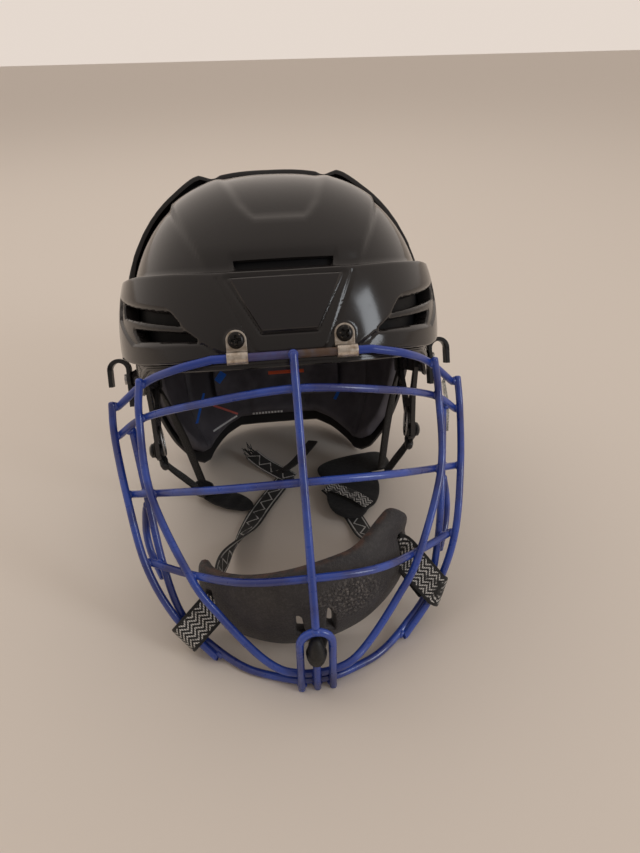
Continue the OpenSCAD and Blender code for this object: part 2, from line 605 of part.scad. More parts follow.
module top_bar() {
  side = concat([[hinge_half - 1, -hinge_reach, hinge_z]],
    curve([[hinge_half, -hinge_reach, hinge_z], [hinge_half + 22, 11 - hinge_reach, hinge_z - 4.5],
      top_in, top_out + unit(top_out - top_in) * 1.5], 5));
  color([0.15, 0.2, 0.55]) union() {
    translate([-hinge_half, -hinge_reach, hinge_z]) rotate([0, 90, 0]) cylinder(h = hinge_l, r = wire_r);
    both_sides() sweep(side, [0, 0, 1], wire_r - 0.04, wire_r - 0.04, 8, 22.5);
  }
}
function bar_ends(a, b) = b + unit(b - a) * 3;
module brow_bar() {
  color([0.15, 0.2, 0.55]) wire(curve(both([brow_mid, [52, 11 - hinge_reach, brow_mid[2] - 5.5], brow_in,
    bar_ends(brow_in, brow_out)]), 4), [0, 0, 1]);
}
module eye_bar() {
  color([0.15, 0.2, 0.55]) wire(curve(both([eye_mid, [50, 2 - hinge_reach, eye_mid[2] - 2.6], eye_in,
    bar_ends(eye_in, eye_out)]), 4), [0, 0, 1]);
}
module mouth_bar() {
  color([0.15, 0.2, 0.55]) wire(curve(both([mouth_mid, [38, -8.2 - hinge_reach, mouth_mid[2] - 1.8], mouth_in,
    bar_ends(mouth_in, mouth_out)]), 4), [0, 0, 1]);
}
loop_top = foot + lean * loop_l;
module centre_bar() {
  color([0.15, 0.2, 0.55]) wire(curve([[0, -hinge_reach - weld, hinge_z + 1.5],
    brow_mid - [0, weld, 0], eye_mid - [0, weld, 0], mouth_mid - [0, weld, 0],
    loop_top + lean * (wire_r - 0.3)], 5), [1, 0, 0]);
}
module inner_hoop() {
  color([0.15, 0.2, 0.55]) wire(curve(both([hoop_foot, hoop_foot + [loop_half_w, -0.4, 1], [22, hoop_foot[1] + 0.4, hoop_foot[2] + 5],
    [36, 2 - hinge_reach + 1.5, hoop_foot[2] + 14.5], [55, 9 - hinge_reach, hinge_z - 154],
    mouth_in + out_low * weld, eye_in + out_in * weld, brow_in + out_in * weld,
    top_in + out_in * weld + [0, 0, 3]]), 4), [0, 1, 0]);
}
rim_low = [62, 24.5 - hinge_reach, hinge_z - 180];
side_low = rim_low + unit([0.3, -0.75, -0.5]) * weld;
side_path = curve([top_out + out_side * weld + [0, 0, 4],
    brow_out + out_side * weld, eye_out + out_side * weld, mouth_out + out_side * weld,
    [cage_mouth_w - 12, 27 - hinge_reach, hinge_z - 158], side_low,
    [cage_end_w, 20 - hinge_reach, hinge_z - 185.5]], 5);
module side_bar(s) {
  color([0.15, 0.2, 0.55]) mirror([s < 0 ? 1 : 0, 0, 0]) wire(side_path, [0, 1, 0]);
}
module side_bar_left() { side_bar(-1); }
module side_bar_right() { side_bar(1); }
rim_half = [rim_foot, rim_foot + [loop_half_w, -0.12, 0.3], [22, 2.5 - hinge_reach, rim_foot[2] + 1.4],
    [42, 11 - hinge_reach, rim_foot[2] + 5.5], rim_low, [80, 31 - hinge_reach, hinge_z - 160],
    lerp(mouth_in, mouth_out, 0.82) - unit([0.5, -0.86, 0]) * weld,
    lerp(eye_in, eye_out, 0.6) - unit([0.58, -0.81, 0]) * weld,
    lerp(brow_in, brow_out, 0.72) - unit([0.69, -0.73, 0]) * weld + [0, 0, 2]];
rim_path = curve(both(rim_half), 4);
module rim_wire() {
  color([0.15, 0.2, 0.55]) wire(rim_path, [0, 1, 0]);
}
module chin_loop() {
  arc = [for (a = [0 : 22.5 : 180]) foot + lean * (loop_l - loop_half_w)
    + [loop_half_w * cos(a), 0, 0] + lean * loop_half_w * sin(a)];
  color([0.15, 0.2, 0.55]) wire(concat([foot + [loop_half_w, 0, 0]], arc, [foot - [loop_half_w, 0, 0]]),
    [0, 1, 0]);
}
module chin_peg() {
  color([0.15, 0.2, 0.55]) wire([foot, foot + lean * (peg_l - 2), foot + lean * peg_l], [1, 0, 0]);
}
// Small wire loops on the rim that webbing can pass.
module strap_loop(s) {
  n = (len(rim_path) - 1) / 2;
  a = rim_path[n + 23];
  b = rim_path[n + 27];
  q = unit([0.6, 0.8, 0]);
  color([0.15, 0.2, 0.55]) mirror([s < 0 ? 1 : 0, 0, 0])
    wire(curve([a + q * weld - [0, 0, 2], lerp(a, b, 0.08) + q * (weld + 4), lerp(a, b, 0.3) + q * (weld + 9),
      lerp(a, b, 0.6) + q * (weld + 9), lerp(a, b, 0.88) + q * (weld + 4), b + q * weld + [0, 0, 2]], 3),
      [1, 0, 0]);
}
module strap_loop_left() { strap_loop(-1); }
module strap_loop_right() { strap_loop(1); }

// Chin cup, a moulded crescent with a front tab that passes through the chin loop.
cup_mid = [0, 50 - hinge_reach, hinge_z - 134];
cup_rows = 8;
cup_cols = 19;
function cup_point(i, j, off) = let (th = lerp(-77, 77, j / (cup_cols - 1)),
    low = lerp(-66, th < 0 ? -36 : -32, pow(abs(th) / 77, 1.6)),
    high = lerp(11, th < 0 ? 21 : 16, pow(abs(th) / 77, 2)) - 9 * ease((th - 62) / 15),
    ps = lerp(low, high, i / (cup_rows - 1)),
    edge = (i == 0 || i == cup_rows - 1 || j == 0 || j == cup_cols - 1) ? 0.3 * cup_wall : 0,
    d = (off == 0 ? -edge : off + edge) + cup_spread * ease((th - 36) / 40) * ease(ps / 14))
  [(cup_half_w + d) * sin(th) * cos(ps), -(cup_depth + d) * cos(th) * cos(ps), (cup_h + d) * sin(ps)];
module cup_frame() {
  translate(cup_mid) rotate([0, -cup_roll, 0]) children();
}
module chin_cup() {
  color([0.2, 0.16, 0.14]) cup_frame() difference() {
    slab([for (i = [0 : cup_rows - 1]) for (j = [0 : cup_cols - 1]) cup_point(i, j, 0)],
      [for (i = [0 : cup_rows - 1]) for (j = [0 : cup_cols - 1]) cup_point(i, j, -cup_wall)],
      cup_rows, cup_cols);
    both_sides() {
      translate([cup_half_w * sin(56), -cup_depth * cos(56), -8]) rotate([0, 0, 62])
        cube([3, 40, cup_web_w + 2], center = true);
      translate([12, -cup_depth, -27]) rotate([90, 0, 0])
        linear_extrude(height = 60, center = true) polygon([[0, -7], [10, 5], [0, 7]]);
    }
  }
}
tab_mid = foot + lean * 31.5;
tab_root = cup_at([0, -(cup_depth - 2) * cos(46), -(cup_h - 2) * sin(46)]);
module cup_tab() {
  color([0.05, 0.05, 0.05]) difference() {
    union() {
      sweep([for (a = [-80 : 20 : 80]) tab_mid + lean * 11 * sin(a)], [1, 0, 0],
        [for (a = [-80 : 20 : 80]) (a < 0 ? 6.2 : 5) * cos(a)],
        [for (a = [-80 : 20 : 80]) 7 * cos(a)], 10);
      ribbon([tab_root, lerp(tab_root, tab_mid, 0.5), tab_mid], [1, 0, 0], 9, 3.4);
    }
    translate(foot) rotate([atan2(0.378, 0.926), 0, 0]) cylinder(h = peg_l + 0.5, r = wire_r + 0.05);
  }
}

// Webbing from the cup's side slots, looped round the rim and the side bar.
function cup_at(p) = cup_mid + [p[0] * cos(cup_roll) - p[2] * sin(cup_roll), p[1],
  p[0] * sin(cup_roll) + p[2] * cos(cup_roll)];
function side_of(p, s) = [s * p[0], p[1], p[2]];
// k and m are the steps along the rim's half and the side bar where the loop sits.
function web_loop(s, k, m) = let (n = (len(rim_path) - 1) / 2,
    a = side_of(rim_path[n + k], s), b = side_of(side_path[m], s), w = (a + b) / 2,
    along = side_of(unit(rim_path[n + k + 1] - rim_path[n + k - 1]), s),
    from = cup_at([s * (cup_half_w - 1.2) * sin(62), -(cup_depth - 1.2) * cos(62), -8]),
    d = unit(w - from - along * ((w - from) * along)), u = unit(cross(along, d)),
    r = norm(a - b) / 2 + wire_r + web_t / 2 + 0.4)
  concat([from + u * (web_t / 2 + 0.1)], [lerp(from, w, 0.45) + u * (r * 0.6)],
    [for (t = [90 : -30 : -90]) w + u * r * sin(t) + d * r * cos(t)],
    [lerp(from, w, 0.45) - u * (r * 0.6)], [from - u * (web_t / 2 + 0.1)]);
function web_side(s, k) = let (n = (len(rim_path) - 1) / 2)
  side_of(unit(rim_path[n + k + 1] - rim_path[n + k - 1]), s);
module cup_web(s, k, m) {
  color([0.06, 0.06, 0.06]) ribbon(web_loop(s, k, m), web_side(s, k), cup_web_w, web_t);
}
module cup_web_left() { cup_web(-1, 18, 22); }
module cup_web_right() { cup_web(1, 20, 20); }

// Resting place: the plane through the feet and the two nape lobes.
rear_outer = rear_grid(0);
lobes = [for (i = [0, 1]) for (j = [0 : rear_n / 2]) let (q = rear_outer[i * rear_n + j])
  if (q[1] > 0) q];
tilt = min([for (q = lobes) atan2(q[2] - foot[2], q[1] - foot[1])]);
lift = foot[1] * sin(tilt) - foot[2] * cos(tilt) + wire_r * abs(sin(tilt - atan2(0.378, 0.926)));
centre_y = 40.5;
function on_table(x, y, h) = [x, y, (h - lift + y * sin(tilt)) / cos(tilt)];
table_up = [0, -sin(tilt), cos(tilt)];
table_back = [0, cos(tilt), sin(tilt)];

// Patterned webbing from the cup's tips to the table inside the helmet.
tip_left = cup_at([-(cup_half_w - cup_wall) * sin(70), -(cup_depth - cup_wall) * cos(70) + 1, -2]);
tip_right = cup_at([(cup_half_w - cup_wall) * sin(70), -(cup_depth - cup_wall) * cos(70) + 1, -2]);
module neck_web_left() {
  path = curve([tip_left, on_table(-56, -76, 20), on_table(-48, -48, 11), on_table(-37, -20, 4.5),
    on_table(-25, 6, 2), on_table(-12, 27, 1.6), on_table(0, 45, 1.6)], 4);
  color([0.06, 0.06, 0.06]) ribbon(path,
    [for (i = [0 : len(path) - 1]) let (a = lerp(100, 0, ease((i - 5) / 10)))
      [cos(a) * 0.88, 0, 0] - table_back * 0.48 * cos(a) + table_up * sin(a)], web_w, web_t);
}
module neck_web_right() {
  path = curve([tip_right, tip_right + [-2, 20, -10], on_table(59, -57, 12), on_table(54, -37, 3.4),
    on_table(48, -10, 1.2), on_table(40, 14, 1.1), on_table(34, 26, 1.1)], 4);
  color([0.06, 0.06, 0.06]) ribbon(path,
    [for (i = [0 : len(path) - 1]) [-0.85, 0, 0] + table_back * 0.52 + table_up * 0.5 * (1 - ease((i - 1) / 7))],
    web_w, web_t);
}

// Plain straps: each side has a front one from the anchor ring and a rear one, which meet.
join_left = on_table(-73, 24, 10);
join_right = on_table(83, 25, 10);
strap_x = guard_x + guard_t + strap_t / 2 + 0.15;
function strap_front(s, j) = concat([[s * strap_x, ring_y, ring_z + 6], [s * strap_x, ring_y, ring_z - 8]],
  curve([[s * strap_x, ring_y, ring_z - 12], lerp([s * strap_x, ring_y, ring_z - 12], j, 0.5) - table_up * 2,
    j + [0, -4, 0]], 3));
module strap_front_side(s, j) {
  path = strap_front(s, j);
  color([0.05, 0.05, 0.05]) difference() {
    ribbon(path, [for (i = [0 : len(path) - 1]) [0, 1, 0] + ease((i - 3) / 5) * table_up * 0.3],
      strap_w, strap_t);
    translate([s * (strap_x - 10), ring_y, ring_z]) rotate([0, 90, 0])
      cylinder(h = 20, d = stud_d + 0.2, center = true);
    translate([s * strap_x, ring_y, ring_z]) rotate([0, 90, 0])
      cylinder(h = 20, d = stud_d + 0.2, center = true);
  }
}
module strap_front_left() { strap_front_side(-1, join_left); }
module strap_front_right() { strap_front_side(1, join_right); }
rear_strap_x = guard_x - strap_t / 2 - 0.15;
function strap_rear(s, j) = concat([[s * rear_strap_x, 18, -13], [s * rear_strap_x, 18, -24]],
  curve([[s * rear_strap_x, 18.5, -28], lerp([s * rear_strap_x, 18, -28], j, 0.5) - [s * 3, 0, 0],
    j + [-s * 2, 5, 3]], 3));
module strap_rear_side(s, j) {
  path = strap_rear(s, j);
  color([0.05, 0.05, 0.05]) ribbon(path,
    [for (i = [0 : len(path) - 1]) [s * 0.5 * ease((i - 3) / 5), 1, 0]], strap_w - 3, strap_t);
}
module strap_rear_left() { strap_rear_side(-1, join_left); }
module strap_rear_right() { strap_rear_side(1, join_right); }
// Padded ends of the chin strap, lying on the table. The right one is a broad pad.
module chin_pad(p, low, high, side) {
  m = len(p) - 1;
  color([0.06, 0.06, 0.06]) sweep(p, side, [for (i = [0 : m]) lerp(low, high, sin(180 * i / m))],
    [for (i = [0 : m]) lerp(2.4, 3.4, sin(180 * i / m))], 12);
}
module chin_pad_left() {
  chin_pad(curve([on_table(-71, 25, 6), on_table(-57, 18, 6), on_table(-43, 10, 6), on_table(-32, 3, 5.6)], 3),
    6, 11, [0.4, 1, 0.45]);
}
module chin_pad_right() {
  chin_pad(curve([on_table(66, 36, 7.6), on_table(60, 22, 7.6), on_table(52, 7, 7.6), on_table(47, -8, 7.4),
    on_table(48, -22, 7)], 3), 9, 22, [1, 0.3, 0.1]);
}

// Small clear plate clipped behind the right side bar.
plate_x = cage_top_w - 4.6;
module clear_plate() {
  top = [plate_x, top_out[1] + 6, top_out[2] + 1];
  mid = [plate_x, brow_out[1] + 2.2, brow_out[2] + 2];
  low = [plate_x - 1.5, eye_out[1] + 21, brow_out[2] - 15];
  color([0.8, 0.82, 0.85, 0.5]) ribbon(curve([top, mid, low], 4), [0.12, 1, 0], 10, 1.2);
}

module rest() {
  translate([0, centre_y, lift]) rotate([-tilt, 0, 0]) children();
}

rest() front_shell();
rest() badge_panel();
rest() front_liner();
rest() brow_pad();
rest() crown_pad();
rest() temple_pad_left();
rest() temple_pad_right();
rest() size_screw_left();
rest() size_screw_right();
rest() cage_clip_left();
rest() cage_clip_right();
rest() clip_screw_left();
rest() clip_screw_right();
rest() ear_guard_left();
rest() ear_guard_right();
rest() snap_stud_left();
rest() snap_stud_right();
rest() hook_screw_left();
rest() hook_screw_right();
rest() strap_front_left();
rest() strap_front_right();
rest() strap_rear_left();
rest() strap_rear_right();
rest() chin_pad_left();
rest() chin_pad_right();
rest() j_clip_left();
rest() j_clip_right();
rest() rear_shell();
rest() rear_liner();
rest() nape_pad();
rest() top_bar();
rest() brow_bar();
rest() eye_bar();
rest() mouth_bar();
rest() centre_bar();
rest() inner_hoop();
rest() side_bar_left();
rest() side_bar_right();
rest() rim_wire();
rest() chin_loop();
rest() chin_peg();
rest() strap_loop_left();
rest() strap_loop_right();
rest() chin_cup();
rest() cup_tab();
rest() cup_web_left();
rest() cup_web_right();
rest() neck_web_left();
rest() neck_web_right();
rest() clear_plate();
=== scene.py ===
# %% [markdown]
# # An ice hockey helmet with a wire cage
# The helmet is a glossy black shell in two halves, a cage of blue coated wire that hinges on two
# steel clips, and a chin cup on webbing. Its solids come ready made from the CAD part. Here each
# visible piece gets a finer surface, worked out with numpy from the same sizes, and a material.

# %% Load the frame
import bpy
import json
import math
import numpy as np
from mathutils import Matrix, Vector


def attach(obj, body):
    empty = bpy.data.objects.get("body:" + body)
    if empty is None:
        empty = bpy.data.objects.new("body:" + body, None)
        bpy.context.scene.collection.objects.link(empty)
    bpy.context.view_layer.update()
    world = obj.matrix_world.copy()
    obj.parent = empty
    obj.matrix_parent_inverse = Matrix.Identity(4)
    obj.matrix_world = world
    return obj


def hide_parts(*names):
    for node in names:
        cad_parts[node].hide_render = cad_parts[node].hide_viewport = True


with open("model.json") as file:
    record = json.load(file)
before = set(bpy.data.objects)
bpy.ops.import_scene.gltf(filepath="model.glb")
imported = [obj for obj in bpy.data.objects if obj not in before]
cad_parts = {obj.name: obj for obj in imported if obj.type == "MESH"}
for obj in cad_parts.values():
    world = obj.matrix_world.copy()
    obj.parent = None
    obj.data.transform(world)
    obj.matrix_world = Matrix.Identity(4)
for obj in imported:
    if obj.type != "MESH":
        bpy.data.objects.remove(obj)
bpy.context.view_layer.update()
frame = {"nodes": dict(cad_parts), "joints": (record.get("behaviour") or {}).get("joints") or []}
nodes = frame["nodes"]
joints = {j["name"]: j for j in frame["joints"]}

# %% [markdown]
# The CAD part is drawn upright about the head: X across, -Y where the face looks, Z up, in
# millimetres. It then leans back as it rests on a table. The lean can be typed in again, or read
# from the frame. Here it is read from the direction of the size slide and the place of the cage
# hinge, so that the two can't drift apart.

# %% From the helmet's millimetres to the frame's metres
HINGE_Y, HINGE_Z = -146.0, -1.5
slide_axis = joints["size_slide"]["axis"]
hinge_at = joints["cage_flip"]["pos_m"]
LEAN = math.atan2(-slide_axis[2], slide_axis[1])
COS, SIN = math.cos(LEAN), math.sin(LEAN)
SHIFT_Y = hinge_at[1] * 1000 - (HINGE_Y * COS + HINGE_Z * SIN)
LIFT = hinge_at[2] * 1000 - (-HINGE_Y * SIN + HINGE_Z * COS)


def rest(p):
    """Turns points p (..., 3) back by the lean about X, then lifts them onto the table."""
    p = np.asarray(p, float)
    x, y, z = p[..., 0], p[..., 1], p[..., 2]
    return np.stack([x, y * COS + z * SIN + SHIFT_Y, -y * SIN + z * COS + LIFT], -1) / 1000


def on_table(x, y, h):
    """The helmet-frame point h millimetres over the table, straight below or above (x, y)."""
    return np.array([x, y, (h - LIFT + y * SIN) / COS])


TABLE_UP = np.array([0, -SIN, COS])
TABLE_BACK = np.array([0, COS, SIN])
print("lean %.2f degrees, lift %.1f mm" % (math.degrees(LEAN), LIFT))

# %% [markdown]
# Every piece is a grid of points. One helper puts arrays of points and faces into a mesh, with
# `foreach_set`, and hands the piece to the frame: which body it rides on, which finish it takes
# and which solids it stands for.


# %% Meshes from arrays
def put(name, points, faces, body, material, stands_for=(), uv=None, sharp=None, wear=None):
    """points (n, 3) are in metres; faces is a list of (m, k) index arrays; uv is (n, 2). wear,
    0 to 1 at each point, is kept as an attribute that a material may read."""
    flat = np.concatenate([np.asarray(f).ravel() for f in faces])
    used, flat = np.unique(flat, return_inverse=True)
    sizes = np.concatenate([np.full(len(f), np.shape(f)[1]) for f in faces])
    starts = np.concatenate([[0], np.cumsum(sizes)[:-1]])
    me = bpy.data.meshes.new(name)
    me.vertices.add(len(used))
    me.vertices.foreach_set("co", np.asarray(points)[used].astype(np.float32).ravel())
    me.loops.add(len(flat))
    me.loops.foreach_set("vertex_index", flat.astype(np.int32))
    me.polygons.add(len(sizes))
    me.polygons.foreach_set("loop_start", starts.astype(np.int32))
    me.update(calc_edges=True)
    me.shade_smooth()
    if sharp:
        me.set_sharp_from_angle(angle=math.radians(sharp))
    if uv is not None:
        layer = me.uv_layers.new(name="along")
        layer.uv.foreach_set("vector", np.asarray(uv)[used][flat].astype(np.float32).ravel())
    if wear is not None:
        values = np.asarray(wear)[used].astype(np.float32)
        me.attributes.new("wear", "FLOAT", "POINT").data.foreach_set("value", values)
    piece = bpy.data.objects.new(name, me)
    bpy.context.scene.collection.objects.link(piece)
    me.materials.append(material)
    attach(piece, body)
    if stands_for:
        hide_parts(*stands_for)
    return piece


def corners(values, wrap=False):
    """The values at the four corners of each cell of a grid, whose columns may close a ring."""
    values = np.concatenate([values, values[:, :1]], 1) if wrap else values
    return values[:-1, :-1], values[:-1, 1:], values[1:, 1:], values[1:, :-1]


def grid_faces(rows, cols, wrap=False):
    """Four-sided faces of a rows by cols grid, whose columns may close into a ring."""
    number = np.arange(rows * cols).reshape(rows, cols)
    return np.stack(corners(number, wrap), -1).reshape(-1, 4)


def layers(*grids):
    """The points of several grids, one grid after the other."""
    return np.concatenate([grid.reshape(-1, 3) for grid in grids])


def ease(t):
    """0 below 0, 1 above 1, and a soft step between."""
    t = np.clip(t, 0, 1)
    return t * t * (3 - 2 * t)


def unit(v):
    return v / np.linalg.norm(v, axis=-1, keepdims=True)


def toward(x, y, z):
    return unit(np.array([x, y, z]))


def curve(points, k):
    """A smooth curve through points, k steps from each to the next (Catmull and Rom's rule)."""
    p = np.asarray(points, float)
    q = np.concatenate([[2 * p[0] - p[1]], p, [2 * p[-1] - p[-2]]])
    t = (np.arange(k) / k)[None, :, None]
    a, b, c, d = (q[i:len(q) - 3 + i, None] for i in range(4))
    mid = 0.5 * (2 * b + (c - a) * t + (2 * a - 5 * b + 4 * c - d) * t ** 2
                 + (3 * b - a - 3 * c + d) * t ** 3)
    return np.concatenate([mid.reshape(-1, 3), p[-1:]])


# %% [markdown]
# ## Finishes
# Moulded plastic is not one flat colour: its gloss changes a little from place to place, it has
# fine scratches and dust, and its surface waves very slightly. Each finish here is a Principled
# shader whose roughness and bump come from noise on the object's own coordinates, so that
# nothing slides when a part moves.


# %% Helpers for materials
def finish(name, color, rough, metallic=0.0, **sockets):
    """A new material: its Principled shader with plain values on its sockets."""
    mat = bpy.data.materials.new(name)
    mat.use_nodes = True
    bsdf = mat.node_tree.nodes["Principled BSDF"]
    bsdf.inputs["Base Color"].default_value = (*color, 1)
    bsdf.inputs["Roughness"].default_value = rough
    bsdf.inputs["Metallic"].default_value = metallic
    for key, value in sockets.items():
        bsdf.inputs[key.replace("_", " ")].default_value = value
    return mat


def node(mat, kind, **values):
    """Adds a node of that kind. Names of sockets set their values, others set properties."""
    n = mat.node_tree.nodes.new(kind)
    for key, value in values.items():
        key = key.replace("_", " ")
        if key in n.inputs:
            n.inputs[key].default_value = value
        else:
            setattr(n, key.replace(" ", "_"), value)
    return n


def link(mat, a, b):
    mat.node_tree.links.new(a, b)


def feed(mat, **outputs):
    """Links outputs to the shader's sockets of those names."""
    bsdf = mat.node_tree.nodes["Principled BSDF"]
    for key, output in outputs.items():
        link(mat, output, bsdf.inputs[key.replace("_", " ")])


def coords(mat, kind="Object"):
    return node(mat, "ShaderNodeTexCoord").outputs[kind]


def split_axes(mat, vector):
    """The X, Y and Z outputs of a vector output."""
    n = node(mat, "ShaderNodeSeparateXYZ")
    link(mat, vector, n.inputs[0])
    return n.outputs


def noise(mat, scale, detail=4.0, stretch=None):
    """Noise at that many features per metre, stretched by a Mapping node if asked."""
    where = coords(mat)
    if stretch:
        m = node(mat, "ShaderNodeMapping", Scale=stretch)
        link(mat, where, m.inputs["Vector"])
        where = m.outputs["Vector"]
    n = node(mat, "ShaderNodeTexNoise", Scale=scale, Detail=detail)
    link(mat, where, n.inputs["Vector"])
    return n.outputs["Fac"]


def spread(mat, value, low, high, out_low=0.0, out_high=1.0):
    """Stretches a value's range low..high to out_low..out_high, with its ends held."""
    n = node(mat, "ShaderNodeMapRange")
    for key, number in zip(("From Min", "From Max", "To Min", "To Max"),
                           (low, high, out_low, out_high)):
        n.inputs[key].default_value = number
    link(mat, value, n.inputs["Value"])
    return n.outputs["Result"]


def mottle(mat, scale, detail, *ranges):
    """Noise at that scale and detail, stretched as spread does."""
    return spread(mat, noise(mat, scale, detail), *ranges)


def math_node(mat, operation, a, b=0):
    """One sum of a and b, each a number or an output."""
    n = node(mat, "ShaderNodeMath", operation=operation)
    for socket, value in zip(n.inputs, (a, b)):
        if isinstance(value, (int, float)):
            socket.default_value = value
        else:
            link(mat, value, socket)
    return n.outputs[0]


def product(mat, value, *others):
    for other in others:
        value = math_node(mat, "MULTIPLY", value, other)
    return value


def cells(mat, scale, feature="F1"):
    """Distance to the middle or the edge of cells, that many to the metre."""
    n = node(mat, "ShaderNodeTexVoronoi", Scale=scale, feature=feature)
    link(mat, coords(mat), n.inputs["Vector"])
    return n.outputs["Distance"]


def blend_color(mat, fac, a, b):
    """Mixes two colours, or a colour over a colour output, by fac."""
    n = node(mat, "ShaderNodeMix", data_type="RGBA")
    link(mat, fac, n.inputs["Factor"])
    for socket, value in ((n.inputs[6], a), (n.inputs[7], b)):
        if isinstance(value, tuple):
            socket.default_value = (*value, 1)
        else:
            link(mat, value, socket)
    return n.outputs[2]


def bump(mat, height, strength, distance):
    """Bump from a height in 0..1, whose full step is distance metres."""
    n = node(mat, "ShaderNodeBump", Strength=strength, Distance=distance)
    link(mat, height, n.inputs["Height"])
    feed(mat, Normal=n.outputs["Normal"])


def worn_gloss(mat, low, high, fine=0.00003):
    """Roughness from low to high in soft patches with fine scratches, and a faint wave."""
    patch = mottle(mat, 22, 5, 0.35, 0.7)
    scratch = spread(mat, noise(mat, 60, 3, stretch=(1, 9, 3)), 0.6, 0.72)
    use = math_node(mat, "ADD", product(mat, patch, 0.7), product(mat, scratch, 0.4))
    feed(mat, Roughness=spread(mat, use, 0, 1, low, high))
    bump(mat, noise(mat, 420, 2), 0.25, fine)
    return mat


# %% The finishes
gloss_black = worn_gloss(finish("gloss_black", (0.02, 0.018, 0.018), 0.15), 0.1, 0.28)
panel_black = worn_gloss(finish("panel_black", (0.019, 0.017, 0.018), 0.13), 0.09, 0.22)
matte_black = worn_gloss(finish("matte_black", (0.03, 0.028, 0.028), 0.42), 0.34, 0.55, 0.00008)
ear_black = worn_gloss(finish("ear_black", (0.022, 0.021, 0.022), 0.2), 0.18, 0.36)
hook_black = worn_gloss(finish("hook_black", (0.016, 0.016, 0.017), 0.32), 0.26, 0.45)
knob_black = worn_gloss(finish("knob_black", (0.02, 0.02, 0.021), 0.3), 0.22, 0.4)
print("materials so far:", len(bpy.data.materials))

# %% [markdown]
# ## The dome's line
# Both shells follow one dome, a superellipsoid: |x/a|^p + |y/b|^p + |z/c|^p = 1. With p = 2 it
# would be an ellipsoid; p = 2.5 makes it boxier, as a helmet is. A point of the surface is given
# by its bearing `th` from the face and its height angle `ph` over brow level. A level or a plane
# is met by stepping `ph` a few times, as the CAD part does.

# %% The dome
HALF_W, HALF_L, HIGH, POWER = 107.0, 134.0, 124.0, 2.5
WALL = 3.0


def ray(th, ph):
    t, p = np.radians(th), np.radians(ph)
    return np.stack([np.cos(p) * np.sin(t), -np.cos(p) * np.cos(t), np.sin(p)], -1)


def dome_r(th, ph):
    u = np.abs(ray(th, ph)) / np.array([HALF_W, HALF_L, HIGH])
    return (u ** POWER).sum(-1) ** (-1 / POWER)


def level_of(th, ph):
    """How high the dome's line is there."""
    return dome_r(th, ph) * np.sin(np.radians(ph))


def at_level(th, z):
    """The height angle at which bearing th meets level z."""
    ph = np.zeros(np.broadcast(th, z).shape)
    for _ in range(8):
        ph = np.degrees(np.arcsin(np.clip(z / dome_r(th, ph), -0.99, 0.99)))
    return ph


def at_plane(th, y, low):
    """The height angle at which bearing th meets the plane at distance y, or low below it."""
    c = np.abs(np.cos(np.radians(th))) + 1e-9
    ph = np.full(np.shape(th), 45.0)
    for _ in range(8):
        ph = np.degrees(np.arccos(np.clip(y / (dome_r(th, ph) * c), 0, 1)))
    return np.where(y >= dome_r(th, np.zeros_like(th)) * c, low, ph)


def signed(th):
    """The bearing from -180 to 180, below 0 on the left."""
    return (th + 180) % 360 - 180


def fold(th):
    return np.abs(signed(th))


def skin(th, ph, off):
    return ray(th, ph) * (dome_r(th, ph) + off)[..., None]


# %% [markdown]
# ## Openings that follow the surface
# A vent could be cut with a Boolean modifier, but the long thin faces it leaves show up as dents
# in a glossy shell. Instead each opening is an outline in (bearing, level). Its signed distance
# tells how far a grid point is from the edge. Points near the edge are moved onto it, the cells
# inside are dropped, and a wall joins the outer layer to the inner one.


# %% Signed distances and holes
def outline_distance(u, v, outline, radius=0.0):
    """Distance in millimetres to a closed outline with rounded corners, below 0 inside."""
    c = np.asarray(outline, float)
    d = np.full(u.shape, 1e9)
    inside = np.zeros(u.shape, bool)
    for (ax, ay), (bx, by) in zip(c, np.roll(c, -1, 0)):
        ex, ey = bx - ax, by - ay
        t = np.clip(((u - ax) * ex + (v - ay) * ey) / (ex * ex + ey * ey), 0, 1)
        d = np.minimum(d, np.hypot(u - ax - t * ex, v - ay - t * ey))
        cross = ((ay > v) != (by > v)) & (u < ex * (v - ay) / (ey + 1e-12) + ax)
        inside ^= cross
    return np.where(inside, -d, d) - radius


def line_distance(u, v, a, b):
    """Distance to the straight line from a to b."""
    ex, ey = b[0] - a[0], b[1] - a[1]
    t = np.clip(((u - a[0]) * ex + (v - a[1]) * ey) / (ex * ex + ey * ey), 0, 1)
    return np.hypot(u - a[0] - t * ex, v - a[1] - t * ey)


EDGE_MM, HALF_CELL = 0.03, 0.52


def step_to_edge(u, v, distance, h=0.05):
    """The distance s, its slopes, and Newton's step onto the edge: s times slope / |slope|^2."""
    s = distance(u, v)
    gu = (distance(u + h, v) - distance(u - h, v)) / (2 * h)
    gv = (distance(u, v + h) - distance(u, v - h)) / (2 * h)
    size = np.maximum(gu * gu + gv * gv, 0.3)
    return s, gu, gv, gu * s / size, gv * s / size


def snap(u, v, distance, du, dv):
    """Moves grid points that lie within half a cell of the edge onto it. Then it moves the last
    inside corners of cells that are kept, which would stick out into the opening as teeth."""
    s, gu, gv, step_u, step_v = step_to_edge(u, v, distance)
    near = np.abs(s) < HALF_CELL * (np.abs(gu) * du + np.abs(gv) * dv)
    u, v = np.where(near, u - step_u, u), np.where(near, v - step_v, v)
    s, _, _, step_u, step_v = step_to_edge(u, v, distance)
    kept_cell = np.logical_or.reduce(corners((s > EDGE_MM) & ~near))
    beside = np.logical_or.reduce(corners(np.pad(kept_cell, 1)))
    tooth = beside & (s < -EDGE_MM) & ~near
    moved = near | tooth
    u, v = np.where(tooth, u - step_u, u), np.where(tooth, v - step_v, v)
    _, _, _, step_u, step_v = step_to_edge(u, v, distance)
    return np.where(moved, u - step_u, u), np.where(moved, v - step_v, v), moved


